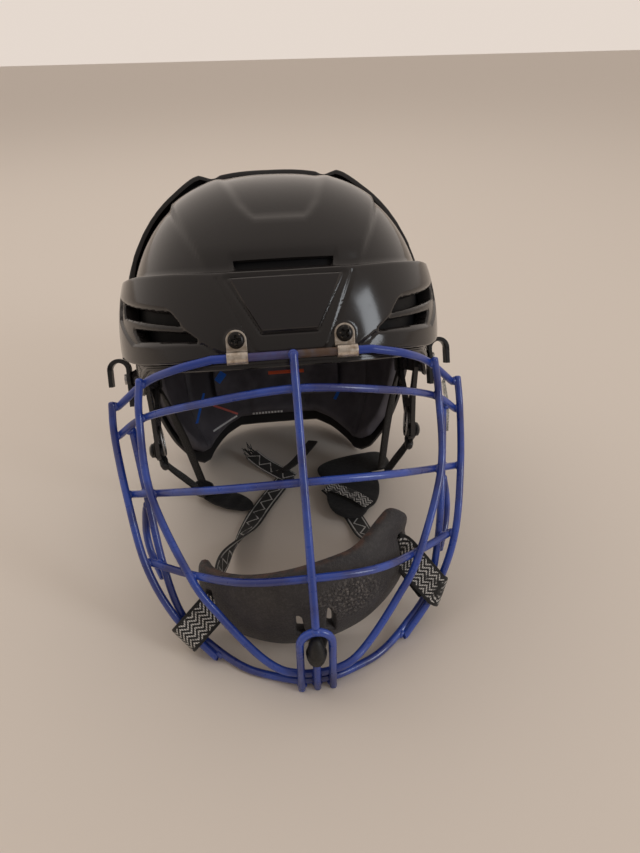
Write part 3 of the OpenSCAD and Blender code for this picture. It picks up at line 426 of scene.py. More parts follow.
def snap_on_dome(th, ph, distance, arc, du, dv):
    """Snaps points of the dome, on its unrolled surface: across is arc times the bearing, up is
    the level. Gives the bearings, the height angles, and the distances to the edge."""
    u, v, moved = snap(signed(th) * arc, level_of(th, ph), distance, du, dv)
    print("points moved to edges of openings:", int(moved.sum()))
    th = np.where(moved, u / arc, th)
    return th, np.where(moved, at_level(th, v), ph), distance(u, v)


def inside_cells(distances, wrap=True):
    """True for the cells whose corners are all inside an opening, or on its edge."""
    return np.maximum.reduce(corners(distances, wrap)) < EDGE_MM


# %% [markdown]
# A shell is an outer and an inner layer of the same grid. The faces of the inner one are turned
# over, so that all faces point outwards, and rings of faces join the two at every border.


# %% Faces of closed shells and sheets
def wall_faces(hole, wrap=True):
    """Faces of a wall with holes: outer grid, inner grid turned over, and the holes' walls."""
    rows, cols = hole.shape[0] + 1, hole.shape[1] + (0 if wrap else 1)
    q = rows * cols
    a, b, c, d = corners(np.arange(q).reshape(rows, cols), wrap)
    kept = np.pad(~hole, 1)
    if wrap:
        kept[1:-1, 0], kept[1:-1, -1] = ~hole[:, -1], ~hole[:, 0]
    outside = np.stack([a, b, c, d], -1)[~hole]
    faces = [outside, outside[:, ::-1] + q]
    for one, other, next_to in ((a, b, kept[:-2, 1:-1]), (c, d, kept[2:, 1:-1]),
                                (b, c, kept[1:-1, 2:]), (d, a, kept[1:-1, :-2])):
        m = hole & next_to
        faces.append(np.stack([one[m], other[m], other[m] + q, one[m] + q], -1))
    return faces


def ring_faces(a, b, flip=False):
    """Faces between two rings of vertex numbers a and b."""
    f = np.stack([a, np.roll(a, -1), np.roll(b, -1), b], -1)
    return f[:, ::-1] if flip else f


def fan(ring, centre, flip=False):
    f = np.stack([ring, np.roll(ring, -1), np.full(len(ring), centre)], -1)
    return f[:, ::-1] if flip else f


def sheet_faces(rows, cols, hole=None):
    """Faces of a closed sheet of two layers, which may have holes, with the rim between them."""
    hole = np.zeros((rows - 1, cols - 1), bool) if hole is None else hole
    rim = np.concatenate([np.arange(cols), np.arange(1, rows) * cols + cols - 1,
                          (rows - 1) * cols + np.arange(cols - 2, -1, -1),
                          np.arange(rows - 2, 0, -1) * cols])
    return wall_faces(hole, wrap=False) + [ring_faces(rim, rim + rows * cols, flip=True)]


def head_shell(outer, inner, top, bottom, hole=None, rim=None):
    """(points, faces) of a cap over the head: two layers of rings, which meet at the rim, or at
    a third ring there, and close in a point each, at levels top and bottom."""
    rows, cols = outer.shape[:2]
    hole = np.zeros((rows - 1, cols), bool) if hole is None else hole
    n, ring = rows * cols, np.arange(cols)
    rings = [ring, n + ring] if rim is None else [ring, 2 * n + ring, n + ring]
    grids = [outer, inner] if rim is None else [outer, inner, rim]
    pole = n * 2 + (0 if rim is None else cols)
    faces = wall_faces(hole) + [ring_faces(a, b, flip=True) for a, b in zip(rings, rings[1:])]
    faces += [fan(ring + n - cols, pole), fan(ring + 2 * n - cols, pole + 1, flip=True)]
    return np.concatenate([layers(*grids), [[0, 0, top], [0, 0, bottom]]]), faces


# %% [markdown]
# ## Front shell
# The front shell is one moulding: a dome, a brow band that stands out from it by a few
# millimetres, and a stepped skirt under the band. Rows of the grid follow the band's edges, so
# its steps stay crisp. The creases, the scoop on top and the grooves are soft steps of a signed
# distance, added to how far the surface stands off the dome's line.

# %% Levels of the front shell's rows
BAND_FRONT, BAND_SIDE = 4.6, 8.6
FINE = 0.5
bearing = np.concatenate([np.arange(-64, 64, FINE), np.linspace(64, 296, 145)[:-1]])


def rim_level(th):
    return -8 - 16 * ease((fold(th) - 42) / 14)


def band_low(th):
    return 1.5 + 1.5 * (1 - ease(fold(th) / 30)) - 3.5 * (1 - ease((fold(th) - 40) / 25))


def band_top(th):
    return np.interp(fold(th), [0, 18, 30, 45, 90], [46.2, 46.6, 48.4, 50, 50])


def band_rise(th):
    rise = BAND_FRONT + (BAND_SIDE - BAND_FRONT) * ease(fold(th) / 70)
    return rise * (1 - ease((fold(th) - 72) / 6))


def stations(th):
    """Height angles at which the strips of rows start and end, for each bearing."""
    low, top = band_low(th), band_top(th)
    levels = [rim_level(th), low - 1.8, low, top - 1.2, top + 2.6]
    return [at_level(th, z) for z in levels] + [np.full(th.shape, 90.0)]


STRIPS = (11, 4, 48, 6, 50)
REAR_FROM = 91


def strip_steps(k):
    """Steps 0 to 1 up strip k, closer together beside the vents and towards the crown."""
    t = np.arange(STRIPS[k]) / STRIPS[k]
    if k == 2:
        t = np.interp(t, [0, 5 / 48, 37 / 48, 1], [0, 0.15, 0.72, 1])
    return 1 - (1 - t) ** 0.9 if k == 4 else t


marks = stations(bearing)
base = marks[0]
strip = np.repeat(np.arange(len(STRIPS)), STRIPS)[:, None] + 0 * bearing
along = np.concatenate([strip_steps(k) for k in range(len(STRIPS))])[:, None] + 0 * bearing
front_ph = np.concatenate([marks[k] + (marks[k + 1] - marks[k]) * strip_steps(k)[:, None]
                           for k in range(len(STRIPS))])
plane_cut = np.where(fold(bearing) < REAR_FROM, base, at_plane(bearing, 30.0, base))
front_ph = plane_cut + (90 - plane_cut) * (front_ph - base) / (90 - base)
front_th = np.broadcast_to(bearing, front_ph.shape)
print("front shell grid:", front_ph.shape)

# %% [markdown]
# The outlines below are in millimetres on the unrolled surface: across is the bearing times
# 2.3, up is the level. Two vents lie in a shallow scoop on each side of the band, and one wide
# slot lies above its middle.

# %% Outlines on the front shell
ARC = 2.3
VENTS = [[(56.5 * ARC, 34.2), (30.2 * ARC, 25.6), (27.6 * ARC, 19.2), (54.5 * ARC, 27.2)],
         [(46.0 * ARC, 18.2), (25.8 * ARC, 13.6), (23.0 * ARC, 9.6), (43.5 * ARC, 12.0)]]
SCOOP = [(62 * ARC, 39), (31 * ARC, 29), (21.2 * ARC, 6.5), (47 * ARC, 8.5), (61 * ARC, 25)]
VENT_TAIL = (21.6 * ARC, 7.5), (16.8 * ARC, 0.0)
BROW_SLOT = [(-14.0 * ARC, 54.4), (14.0 * ARC, 54.4), (12.4 * ARC, 49.9), (-12.4 * ARC, 49.9)]
FACET = (38.6, 43.0), (20.3, 1.0)
PLATE_LOW, PLATE_TOP = (15.6, 12.0), (32.6, 42.3)


def vent_distance(u, v):
    """Distance to the nearest opening: both side vents on each side and the brow slot."""
    d = outline_distance(u, v, BROW_SLOT, 0.3)
    for outline in VENTS:
        d = np.minimum(d, outline_distance(np.abs(u), v, outline, 0.6))
    return d


row_gap = np.minimum(np.abs(np.gradient(level_of(front_th, front_ph), axis=0)), 1.3)
front_th, front_ph, to_vent = snap_on_dome(front_th, front_ph, vent_distance, ARC, FINE * ARC, row_gap)


# %% How far the front shell stands off the dome's line
def groove(d, width, depth):
    """A rounded channel of that width and depth along the line where d is 0."""
    return -depth * (1 - ease(np.abs(d) / (width / 2)))


def quarter(d, width, share=1.0):
    """Rises from about 0 at d = 0 to 1 at d = width, as a quarter of a circle does."""
    t = 1 - np.clip(d / width, 0, 1)
    return np.sqrt(np.clip(1 - t * t * share, 0, 1))


def lip(d, radius):
    """Rounds an edge: falls by radius as d goes from radius to 0."""
    return -radius * (1 - quarter(d, radius, 0.98))


def crown_panel(p):
    """The raised middle of the dome, between two creases that part towards the crown."""
    x, y, z = np.abs(p[..., 0]), p[..., 1], p[..., 2]
    edge = np.interp(z, [46, 56, 70, 88, 102, 112], [43, 48, 55.5, 64, 68.5, 70])
    rise = 2.1 * ease((z - 48) / 15)
    return rise * (1 - ease((x - edge + 1.2) / 2.4)) * (1 - ease((y - 25) / 25))


def crown_scoop(p):
    """A shallow hollow with sloping sides, open to the rear, in the middle of the dome."""
    x, y, z = np.abs(p[..., 0]), p[..., 1], p[..., 2]
    half = np.interp(z, [76, 80, 90, 107, 124], [9, 20.5, 28, 35, 40])
    inside = np.minimum((half - x) * 0.9, (z - 76.5) * 1.2)
    return -2.1 * ease(inside / 7.5) * (1 - ease((y + 60) / 45))


def front_offset(th, ph, strip, along):
    """The band, the creases, the grooves, the stepped skirt and the rounded edges together."""
    p = skin(th, ph, np.zeros_like(th))
    x, u, v = np.abs(p[..., 0]), fold(th) * ARC, p[..., 2]
    rise, at_band = band_rise(th), fold(th) < REAR_FROM
    share = np.select([strip == 0, strip == 1, strip == 2, strip == 3],
                      [0 * along, np.sqrt(np.clip(along * (2 - along), 0, 1)),
                       1 + 0 * along, 1 - ease(along)], 0)
    off = np.where(at_band, rise * share, 0)
    crowned = np.where(strip == 2, 0.7 * np.sin(np.pi * along) ** 0.7, 0) * at_band
    off = off + crowned * (rise / 8) + crown_panel(p) + crown_scoop(p)
    off = off - 1.5 * ease(-outline_distance(u, v, SCOOP) / 1.6) * at_band
    off = off + groove(line_distance(u, v, *VENT_TAIL), 2.6, 1.2)
    off = off + groove(line_distance(x, v, *FACET), 2.6, 0.9)
    plate = [(-1, PLATE_LOW[1]), PLATE_LOW, PLATE_TOP, (-1, PLATE_TOP[1])]
    off = off + groove(outline_distance(x, v, plate) - 0.9, 3.4, 1.3)
    steps = np.where(along > 0.66, 1.0, np.where(along > 0.33, 1.9, 0.6))
    off = off + ((strip == 0) & at_band) * steps * ease((60 - fold(th)) / 12)
    return off + np.where(strip >= 2, lip(np.maximum(to_vent, 0), 1.5), 0)


offset = front_offset(front_th, front_ph, strip, along)
outer = skin(front_th, front_ph, offset)
inner = skin(front_th, front_ph, np.full(front_th.shape, -WALL))

# %% [markdown]
# Round seats for the clip screws and the J clips stand up from the band. A seat is made by
# pulling the points near its axis out to one flat level.


# %% Seats, rim and mesh of the front shell
def seat(points, axis, centre, level, radius):
    """Moves points within radius of a line along axis out to level, with a narrow slope."""
    other = [k for k in range(3) if k != axis]
    d = np.hypot(points[..., other[0]] - centre[0], points[..., other[1]] - centre[1])
    w = 1 - ease((d - radius + 0.8) / 1.6)
    gap = level - points[..., axis]
    same_side = points[..., axis] * level > 0
    points[..., axis] += np.where(same_side & (gap * np.sign(level) > 0), w * gap, 0)


CLIP_X, CLIP_Z = 31.5, 8.5
CLIP_SEAT = HALF_L + BAND_FRONT - 1.3
HOOK_SEAT = HALF_W + 3.4
SEAT_R = 6.3
for s in (-1, 1):
    seat(outer, 1, (s * CLIP_X, CLIP_Z), -CLIP_SEAT, SEAT_R)
    seat(outer, 0, (-27.0, -14.0), s * HOOK_SEAT, SEAT_R)

points, faces = head_shell(outer, inner, HIGH + offset[-1].mean(), HIGH - WALL,
                           inside_cells(to_vent), (outer[0] + inner[0]) / 2 - [0, 0, 0.9])
front_shell = put("front_shell_surface", rest(points), faces, "helmet",
                  gloss_black, ["front_shell"], sharp=50)
print("front shell faces:", len(front_shell.data.polygons))

# %% [markdown]
# ## Front panel
# On the real helmet a bare plate sits between the creases of the brow band. It is a thin slab
# whose outline narrows downwards. Its edge is rounded by letting the outermost rows sink.

# %% Front panel
PLATE_ROWS, PLATE_COLS = 36, 61
T, S = np.meshgrid(np.linspace(0, 1, PLATE_ROWS), np.linspace(-1, 1, PLATE_COLS), indexing="ij")
half = PLATE_LOW[0] + (PLATE_TOP[0] - PLATE_LOW[0]) * T
th = np.degrees(np.arctan2(S * half, HALF_L - 2.0))
ph = at_level(th, PLATE_LOW[1] + (PLATE_TOP[1] - PLATE_LOW[1]) * T)
edge = np.minimum((1 - np.abs(S)) * half, np.minimum(T, 1 - T) * 30)
top = skin(th, ph, band_rise(th) + 1.25 + lip(edge, 0.9))
low = skin(th, ph, band_rise(th) - 0.3)
put("front_plate", rest(layers(top, low)), sheet_faces(PLATE_ROWS, PLATE_COLS), "helmet",
    panel_black, ["badge_panel"], sharp=40)
print("front plate points:", 2 * T.size)

# %% [markdown]
# ## Rear shell
# The rear shell is satin, not glossy, and wraps over the front one with a dark gap between. Its
# front edge is a straight cut, and two ridges run back along the crown. It is made like the
# front shell, with three vents on each side and a slot in which the size screw slides.

# %% Rear shell
REAR_RISE, REAR_WALL, RIDGE = 6.5, 3.0, 5.2
REAR_COLS, REAR_ROWS = 400, 112
SIDE_ARC = 1.8
REAR_VENTS = [(166, 52, 6, 2.35), (142, 34, 10, 2.15), (122, 4, 14, 2.0)]


def rear_low(th):
    return np.interp(fold(th), [0, 94, 103, 112, 121, 128, 134, 140, 148, 156, 163, 180],
                     [34, 34, 2, -36, -74, -90, -94, -93, -85, -76, -70, -70])


def ridge(th, ph):
    """Two ridges along the crown, highest a little under half way out, which fade downwards."""
    p = skin(th, ph, np.zeros_like(th))
    u = np.abs(p[..., 0]) / HALF_W
    shape = np.interp(u, [0, 0.31, 0.34, 0.37, 0.43, 0.47, 0.6, 0.85, 1],
                      [0.02, 0.08, -0.12, -0.05, 0.96, 1, 0.55, 0.15, 0])
    return RIDGE * shape * ease((p[..., 2] + 20) / 90)


th = np.arange(REAR_COLS) * 360.0 / REAR_COLS
low = at_level(th, rear_low(th))
cut = np.where(fold(th) > 89, low, at_plane(th, 20.0, low))
t = np.concatenate([np.linspace(0, 0.05, 7)[:-1], np.linspace(0.05, 0.985, REAR_ROWS - 6)])[:, None]
rear_ph = cut + (90 - cut) * t
rear_th = np.broadcast_to(th, rear_ph.shape)


def slot_distance(u, v):
    """Distance to the size screw's slot or to a vent. Each vent is all within 4 mm of a short
    line that leans by some degrees; arc is the millimetres per degree of bearing there."""
    d = line_distance(np.abs(u), v, (84.3 * SIDE_ARC, 42), (95.7 * SIDE_ARC, 42)) - 2.8
    for at_th, z, leans, arc in REAR_VENTS:
        a = (np.abs(u) / SIDE_ARC - at_th) * arc
        run, rise = 13 * math.sin(math.radians(leans)), 13 * math.cos(math.radians(leans))
        d = np.minimum(d, line_distance(a, v, (-run, z - rise), (run, z + rise)) - 4.0)
    return d


rear_th, rear_ph, to_slot = snap_on_dome(rear_th, rear_ph, slot_distance, SIDE_ARC,
                                         360 / REAR_COLS * SIDE_ARC, 1.3)
rise = ridge(rear_th, rear_ph)
rounding = lip(t * (90 - cut) * 1.9, 1.3) + lip(np.maximum(to_slot, 0), 1.2)
outer = skin(rear_th, rear_ph, REAR_RISE + rise + rounding)
inner = skin(rear_th, rear_ph, REAR_RISE - REAR_WALL + np.maximum(rise, 0))
points, faces = head_shell(outer, inner, HIGH + REAR_RISE, HIGH + REAR_RISE - REAR_WALL,
                           inside_cells(to_slot))
rear_shell = put("rear_shell_surface", rest(points), faces, "rear", matte_black,
                 ["rear_shell"], sharp=40)
print("rear shell faces:", len(rear_shell.data.polygons))

# %% [markdown]
# ## Cage
# Each bar of the cage is one steel wire with a blue plastic coating, bent to a smooth curve.
# A curve object with a bevel would do, but arrays let the cut ends be rounded and the places
# where wires cross be found, so that a weld can be laid there.


# %% Tubes along a path
def rounded_path(path, e, steps=4):
    """Adds points near both ends and gives the share of the radius there, for rounded ends."""
    p = np.asarray(path, float)
    d = e * (1 - np.cos(np.linspace(0, np.pi / 2, steps + 1)[:-1]))
    first = p[0] + unit(p[1] - p[0]) * d[:, None]
    last = p[-1] + unit(p[-2] - p[-1]) * d[:, None]
    share = np.sqrt(1 - (1 - d / e) ** 2 * 0.92)
    q = np.concatenate([first, p[1:-1], last[::-1]])
    return q, np.concatenate([share, np.ones(len(p) - 2), share[::-1]])


def tube_faces(m, n):
    """Faces of m rings of n points, closed at both ends in the last two points."""
    ring = np.arange(n)
    return [grid_faces(m, n, wrap=True)[:, ::-1], fan(ring, m * n),
            fan(ring + (m - 1) * n, m * n + 1, flip=True)]


def sweep(path, side, half_w, half_t, n=18, square=2.0):
    """(points, faces, c) of a closed oval along a path: path + w a cos + u b sin, raised to
    2/square for corners. c is the cosine part round a ring."""
    p = np.asarray(path, float)
    ahead = unit(np.concatenate([p[1:2] - p[:1], p[2:] - p[:-2], p[-1:] - p[-2:-1]]))
    s = np.broadcast_to(np.asarray(side, float), p.shape)
    w = unit(s - ahead * (s * ahead).sum(1, keepdims=True))
    u = np.cross(ahead, w)
    angle = 2 * np.pi * np.arange(n) / n
    c, d = np.cos(angle), np.sin(angle)
    c, d = np.sign(c) * np.abs(c) ** (2 / square), np.sign(d) * np.abs(d) ** (2 / square)
    a, b = np.broadcast_to(half_w, len(p)), np.broadcast_to(half_t, len(p))
    rings = (p[:, None] + w[:, None] * (a[:, None] * c)[..., None]
             + u[:, None] * (b[:, None] * d)[..., None])
    return layers(rings, p[:1], p[-1:]), tube_faces(len(p), n), c


def tube(path, side, radius, n=18, end=1.2):
    """(points, faces) of a round wire with rounded ends."""
    p, share = rounded_path(path, end)
    return sweep(p, side, radius * share, radius * share, n)[:2]


def join(parts):
    """Puts several (points, faces) together."""
    points, faces, first = [], [], 0
    for p, f in parts:
        points.append(p)
        faces += [x + first for x in f]
        first += len(p)
    return np.concatenate(points), faces


def both(half):
    """The mirror image of half a path, and then the half itself."""
    half = np.asarray(half, float)
    return np.concatenate([half[:0:-1] * [-1, 1, 1], half])


def mirrored(p):
    return np.asarray(p) * [-1, 1, 1]


def turned(faces):
    """The same faces, seen from the other side."""
    return [f[:, ::-1] for f in faces]


# %% [markdown]
# The coating is glossy plastic: a saturated blue in darker and lighter patches, with pale
# specks. Between the two clips the top bar's coating has worn away to brown and grey, more on
# the right than on the left.

# %% Coating
coat = finish("blue_coating", (0.016, 0.045, 0.3), 0.3, Coat_Weight=0.7, Coat_Roughness=0.1,
              Specular_IOR_Level=0.55)
patch = mottle(coat, 35, 4, 0.4, 0.62)
shade = blend_color(coat, patch, (0.013, 0.027, 0.19), (0.02, 0.07, 0.42))
dust = mottle(coat, 900, 4, 0.66, 0.74)
shade = blend_color(coat, product(coat, dust, 0.45), shade, (0.16, 0.17, 0.3))
feed(coat, Base_Color=shade, Roughness=mottle(coat, 240, 3, 0.3, 0.7, 0.24, 0.42))
bump(coat, noise(coat, 300, 2), 0.3, 0.0002)

worn_coat = finish("worn_coating", (0.03, 0.05, 0.3), 0.35)
across = split_axes(worn_coat, coords(worn_coat))["X"]
between_clips = spread(worn_coat, math_node(worn_coat, "ABSOLUTE", across), 0.026, 0.036, 1, 0)
rub = spread(worn_coat, noise(worn_coat, 90, 5, stretch=(0.4, 1, 1)), 0.22, 0.42)
right_side = spread(worn_coat, across, -0.004, 0.006, 0.6, 1.0)
bare = product(worn_coat, between_clips, rub, right_side)
bare_color = blend_color(worn_coat, mottle(worn_coat, 160, 4, 0.46, 0.7),
                         (0.085, 0.048, 0.03), (0.085, 0.08, 0.1))
feed(worn_coat, Base_Color=blend_color(worn_coat, bare, (0.018, 0.052, 0.32), bare_color),
     Roughness=spread(worn_coat, bare, 0, 1, 0.3, 0.5))
bump(worn_coat, noise(worn_coat, 420, 4), 0.35, 0.0003)

# %% Bends of the cage bars
WIRE_R, BITE = 2.4, 0.5
WELD = 2 * WIRE_R - BITE
REACH = -HINGE_Y


def at(x, ahead, drop):
    """A point x across, ahead mm behind the hinge line and drop mm below it."""
    return np.array([x, ahead - REACH, HINGE_Z - drop])


top_in, top_out = at(89.4, 38, 12), at(112.8, 66, 28)
brow_mid, brow_in, brow_out = at(0, -3, 19.3), at(93, 44.5, 34.1), at(112.8, 63, 46.3)
eye_mid, eye_in, eye_out = at(0, -10.3, 72.4), at(88.5, 31, 80), at(105.3, 43, 81.8)
mouth_mid, mouth_in, mouth_out = at(0, -17.5, 126.8), at(68.5, 16.5, 129.8), at(96.5, 33, 124.2)
foot = at(0, -4.6, 200.3)
lean = toward(0, -0.378, 0.926)
back = toward(0, 0.926, 0.378)
out_in, out_low = toward(0.62, -0.78, 0), toward(0.42, -0.9, -0.1)
out_side = toward(0.62, -0.78, 0.05)
hoop_foot, rim_foot = foot + lean * 8.4 + back * WELD, foot + lean * 3.2 + back * WELD
K = 12


def past(a, b):
    return b + unit(b - a) * 3


print("mm from the middle of one wire to the next at a weld:", WELD)

# %% Paths of the cage bars
top_half = np.concatenate([[at(0, 0, 0), at(20, 0, 0), at(44, 0, 0)],
                           curve([at(46, 0, 0), at(68, 11, 4.5), top_in,
                                  top_out + unit(top_out - top_in) * 1.5], K)])
rim_low = at(62, 24.5, 180)
side_low = rim_low + toward(0.3, -0.75, -0.5) * WELD
side_path = curve([top_out + out_side * WELD + [0, 0, 4], brow_out + out_side * WELD,
                   eye_out + out_side * WELD, mouth_out + out_side * WELD,
                   at(84.5, 27, 158), side_low, at(59.3, 20, 185.5)], K)


def within(a, b, share, x, y):
    """The point that share of the way from a to b, one weld inwards: against (x, y)."""
    return a + (b - a) * share - toward(x, y, 0) * WELD


rim_half = [rim_foot, rim_foot + [9.5, -0.12, 0.3], [22, 2.5 - REACH, rim_foot[2] + 1.4],
            [42, 11 - REACH, rim_foot[2] + 5.5], rim_low, at(80, 31, 160),
            within(mouth_in, mouth_out, 0.82, 0.5, -0.86), within(eye_in, eye_out, 0.6, 0.58, -0.81),
            within(brow_in, brow_out, 0.72, 0.69, -0.73) + [0, 0, 2]]
rim_path = curve(both(rim_half), K)
loop_top = foot + lean * 47
arc = np.radians(np.arange(0, 181, 9))[:, None]
crown = (foot + lean * 37.5 + 9.5 * np.cos(arc) * [1, 0, 0] + 9.5 * np.sin(arc) * lean)
UP, ACROSS, DEEP = [0, 0, 1], [1, 0, 0], [0, 1, 0]
bars = {
    "top_bar": (both(top_half), UP),
    "brow_bar": (curve(both([brow_mid, at(52, 11, 24.8), brow_in, past(brow_in, brow_out)]), K), UP),
    "eye_bar": (curve(both([eye_mid, at(50, 2, 75), eye_in, past(eye_in, eye_out)]), K), UP),
    "mouth_bar": (curve(both([mouth_mid, at(38, -8.2, 128.6), mouth_in,
                              past(mouth_in, mouth_out)]), K), UP),
    "centre_bar": (curve([at(0, -WELD, -1.5), brow_mid - [0, WELD, 0], eye_mid - [0, WELD, 0],
                          mouth_mid - [0, WELD, 0], loop_top + lean * (WIRE_R - 0.3)], K), ACROSS),
    "inner_hoop": (curve(both([hoop_foot, hoop_foot + [9.5, -0.4, 1],
                               [22, hoop_foot[1] + 0.4, hoop_foot[2] + 5],
                               [36, 3.5 - REACH, hoop_foot[2] + 14.5], at(55, 9, 154),
                               mouth_in + out_low * WELD, eye_in + out_in * WELD,
                               brow_in + out_in * WELD,
                               top_in + out_in * WELD + [0, 0, 3]]), K), DEEP),
    "side_bar_left": (mirrored(side_path), DEEP),
    "side_bar_right": (side_path, DEEP),
    "rim_wire": (rim_path, DEEP),
    "chin_loop": (np.concatenate([[foot + [9.5, 0, 0]], crown, [foot - [9.5, 0, 0]]]), DEEP),
    "chin_peg": (np.array([foot, foot + lean * 8, foot + lean * 16, foot + lean * 22]), ACROSS)}
half_n = (len(rim_path) - 1) // 2
a, b = rim_path[half_n + 23 * K // 4], rim_path[half_n + 27 * K // 4]
off = toward(0.6, 0.8, 0)
sides = [a + (b - a) * share + off * (WELD + out)
         for share, out in ((0.08, 4), (0.3, 9), (0.6, 9), (0.88, 4))]
loop = curve([a + off * WELD - [0, 0, 2], *sides, b + off * WELD + [0, 0, 2]], 6)
bars["strap_loop_right"] = (loop, ACROSS)
bars["strap_loop_left"] = (mirrored(loop), ACROSS)
print("bars:", list(bars))

# %% Wires of the cage
for name, (path, side) in bars.items():
    p, f = tube(path, side, WIRE_R)
    put(name + "_wire", rest(p), f, "cage",
        worn_coat if name == "top_bar" else coat, [name])
print("points on the longest bar:", max(len(path) for path, _ in bars.values()))

# %% [markdown]
# Where two wires cross, the welder melts them together and the coating flows over the joint.
# The nearest points of each two bars are found from all their distances at once, and a small
# flattened bead is laid between them.

# %% Weld beads
BEAD_R, BEAD_FLAT = 3.1, 0.35
NEAR_MM = 6.2
beads = []
names = list(bars)
theta, phi = np.meshgrid(np.linspace(0, 2 * np.pi, 12, endpoint=False),
                         np.linspace(-1.35, 1.35, 7))
ball = BEAD_R * np.stack([np.cos(phi) * np.cos(theta), np.cos(phi) * np.sin(theta), np.sin(phi)], -1)
for m, one in enumerate(names):
    for other in names[m + 1:]:
        p, q = bars[one][0], bars[other][0]
        gap = np.linalg.norm(p[:, None] - q[None], axis=-1)
        for flip in (-1, 1):
            mask = np.where(p[:, 0] * flip >= -0.5, 0, 99)[:, None] + gap
            i, j = np.unravel_index(mask.argmin(), mask.shape)
            if mask[i, j] > NEAR_MM or (flip == 1 and abs(p[i, 0]) < 1):
                continue
            mid = (p[i] + q[j]) / 2
            way = unit(q[j] - p[i] + 1e-9)
            flat = ball - way * (ball @ way)[..., None] * BEAD_FLAT
            beads.append((mid + layers(flat, ball[0].mean(0), ball[-1].mean(0)),
                          turned(tube_faces(7, 12))))
p, f = join(beads)
p = rest(p)
p[:, 2] = np.maximum(p[:, 2], 0.0002)
put("weld_beads", p, f, "cage", coat)
print("weld beads:", len(beads))

# %% [markdown]
# ## Small hardware
# The clips, screws, J clips, ear guards and studs already have the right shape in the CAD part.
# A real edge is never perfectly sharp, so each gets live modifiers that join its loose
# triangles and round the edges a little, which is where such a part catches the light.


# %% Rounded edges and finishes for solids that stay
def soften(name, material, width, segments=2, angle=38):
    """Joins the solid's triangles and rounds its edges by width millimetres."""
    piece = nodes[name]
    piece.data.materials.clear()
    piece.data.materials.append(material)
    weld = piece.modifiers.new("join", "WELD")
    weld.merge_threshold = 0.00002
    bevel = piece.modifiers.new("round", "BEVEL")
    bevel.width, bevel.segments = width / 1000, segments
    bevel.limit_method, bevel.angle_limit = "ANGLE", math.radians(angle)
    bevel.harden_normals = False
    bevel.use_clamp_overlap = True


clip_steel = finish("clip_steel", (0.56, 0.49, 0.41), 0.36, 0.9, Anisotropic=0.3)
grime = mottle(clip_steel, 260, 6, 0.42, 0.7)
tone = blend_color(clip_steel, grime, (0.62, 0.56, 0.49), (0.34, 0.27, 0.2))
pits = product(clip_steel, mottle(clip_steel, 1400, 3, 0.66, 0.72), 0.7)
brushed = noise(clip_steel, 900, 2, stretch=(0.15, 1, 1))
feed(clip_steel, Base_Color=blend_color(clip_steel, pits, tone, (0.1, 0.07, 0.05)),
     Roughness=spread(clip_steel, brushed, 0.3, 0.7, 0.28, 0.5))
bump(clip_steel, brushed, 0.2, 0.0001)

screw_black = finish("screw_black", (0.02, 0.018, 0.016), 0.38, 0.6)
chip = mottle(screw_black, 700, 4, 0.6, 0.7)
feed(screw_black, Roughness=spread(screw_black, chip, 0, 1, 0.32, 0.55),
     Base_Color=blend_color(screw_black, chip, (0.016, 0.015, 0.015), (0.2, 0.17, 0.14)))
bump(screw_black, noise(screw_black, 1100, 2), 0.3, 0.0001)

screw_steel = finish("screw_steel", (0.45, 0.44, 0.43), 0.3, 0.95)
turning = noise(screw_steel, 800, 3, stretch=(1, 4, 1))
feed(screw_steel, Roughness=spread(screw_steel, turning, 0.3, 0.7, 0.2, 0.45))
bump(screw_steel, noise(screw_steel, 1500, 2), 0.2, 0.00005)

HARDWARE = {"cage_clip_": (clip_steel, 0.35, 3), "size_screw_": (knob_black, 0.5),
            "ear_guard_": (ear_black, 0.8, 3), "snap_stud_": (knob_black, 0.5, 3),
            "hook_screw_": (screw_steel, 0.3), "j_clip_": (hook_black, 0.9, 3)}
for name, looks in HARDWARE.items():
    soften(name + "left", *looks)
    soften(name + "right", *looks)
print("softened solids:", 2 * len(HARDWARE))

# %% [markdown]
# The clip screws are the one fastener seen close up. Their black pan heads are round domes with
# a cross recess that tapers as it goes in. The head is a polar grid whose height is the dome,
# less a soft step inside the cross.

# %% Clip screw heads
HEAD_R, HEAD_H = 4.9, 2.5
HEAD_SEAT = CLIP_SEAT + 1.3
ARM, ARM_HALF = 2.75, 0.62
SHANK = ((HEAD_R, 1.25), (2.0, 1.25), (2.0, -5.0))
radius = np.concatenate([np.linspace(0.05, 3.9, 26),
                         HEAD_R - 0.9 * (1 - np.sin(np.linspace(0.15, np.pi / 2, 7)))])
angle = 2 * np.pi * np.arange(72) / 72
R, A = np.meshgrid(radius, angle, indexing="ij")
height = HEAD_H * np.sqrt(np.clip(1 - (R / (HEAD_R + 0.12)) ** 2.6, 0, 1))
for s, side in ((-1, "left"), (1, "right")):
    tilt = A + 0.5 * s + 0.4
    x, y = np.abs(R * np.cos(tilt)), np.abs(R * np.sin(tilt))
    arm = np.minimum(np.maximum(x - ARM, y - ARM_HALF), np.maximum(y - ARM, x - ARM_HALF))
    arm = np.minimum(arm, np.hypot(x, y) - 1.1)
    z = height - 1.5 * ease(-arm / 0.45 + 0.4)
    head = np.stack([s * CLIP_X + R * np.cos(A), -HEAD_SEAT - z, CLIP_Z + R * np.sin(A)], -1)
    shank = [[s * CLIP_X + r * np.cos(a), -(CLIP_SEAT + y0), CLIP_Z + r * np.sin(a)]
             for r, y0 in SHANK for a in angle]
    ends = [[s * CLIP_X, -HEAD_SEAT - z[0].mean(), CLIP_Z], [s * CLIP_X, -(CLIP_SEAT - 5.0), CLIP_Z]]
    put("clip_screw_" + side + "_head", rest(np.concatenate([head.reshape(-1, 3), shank, ends])),
        turned(tube_faces(len(radius) + len(SHANK), len(angle))), "helmet",
        screw_black, ["clip_screw_" + side], sharp=60)
print("screw head rings:", len(radius))

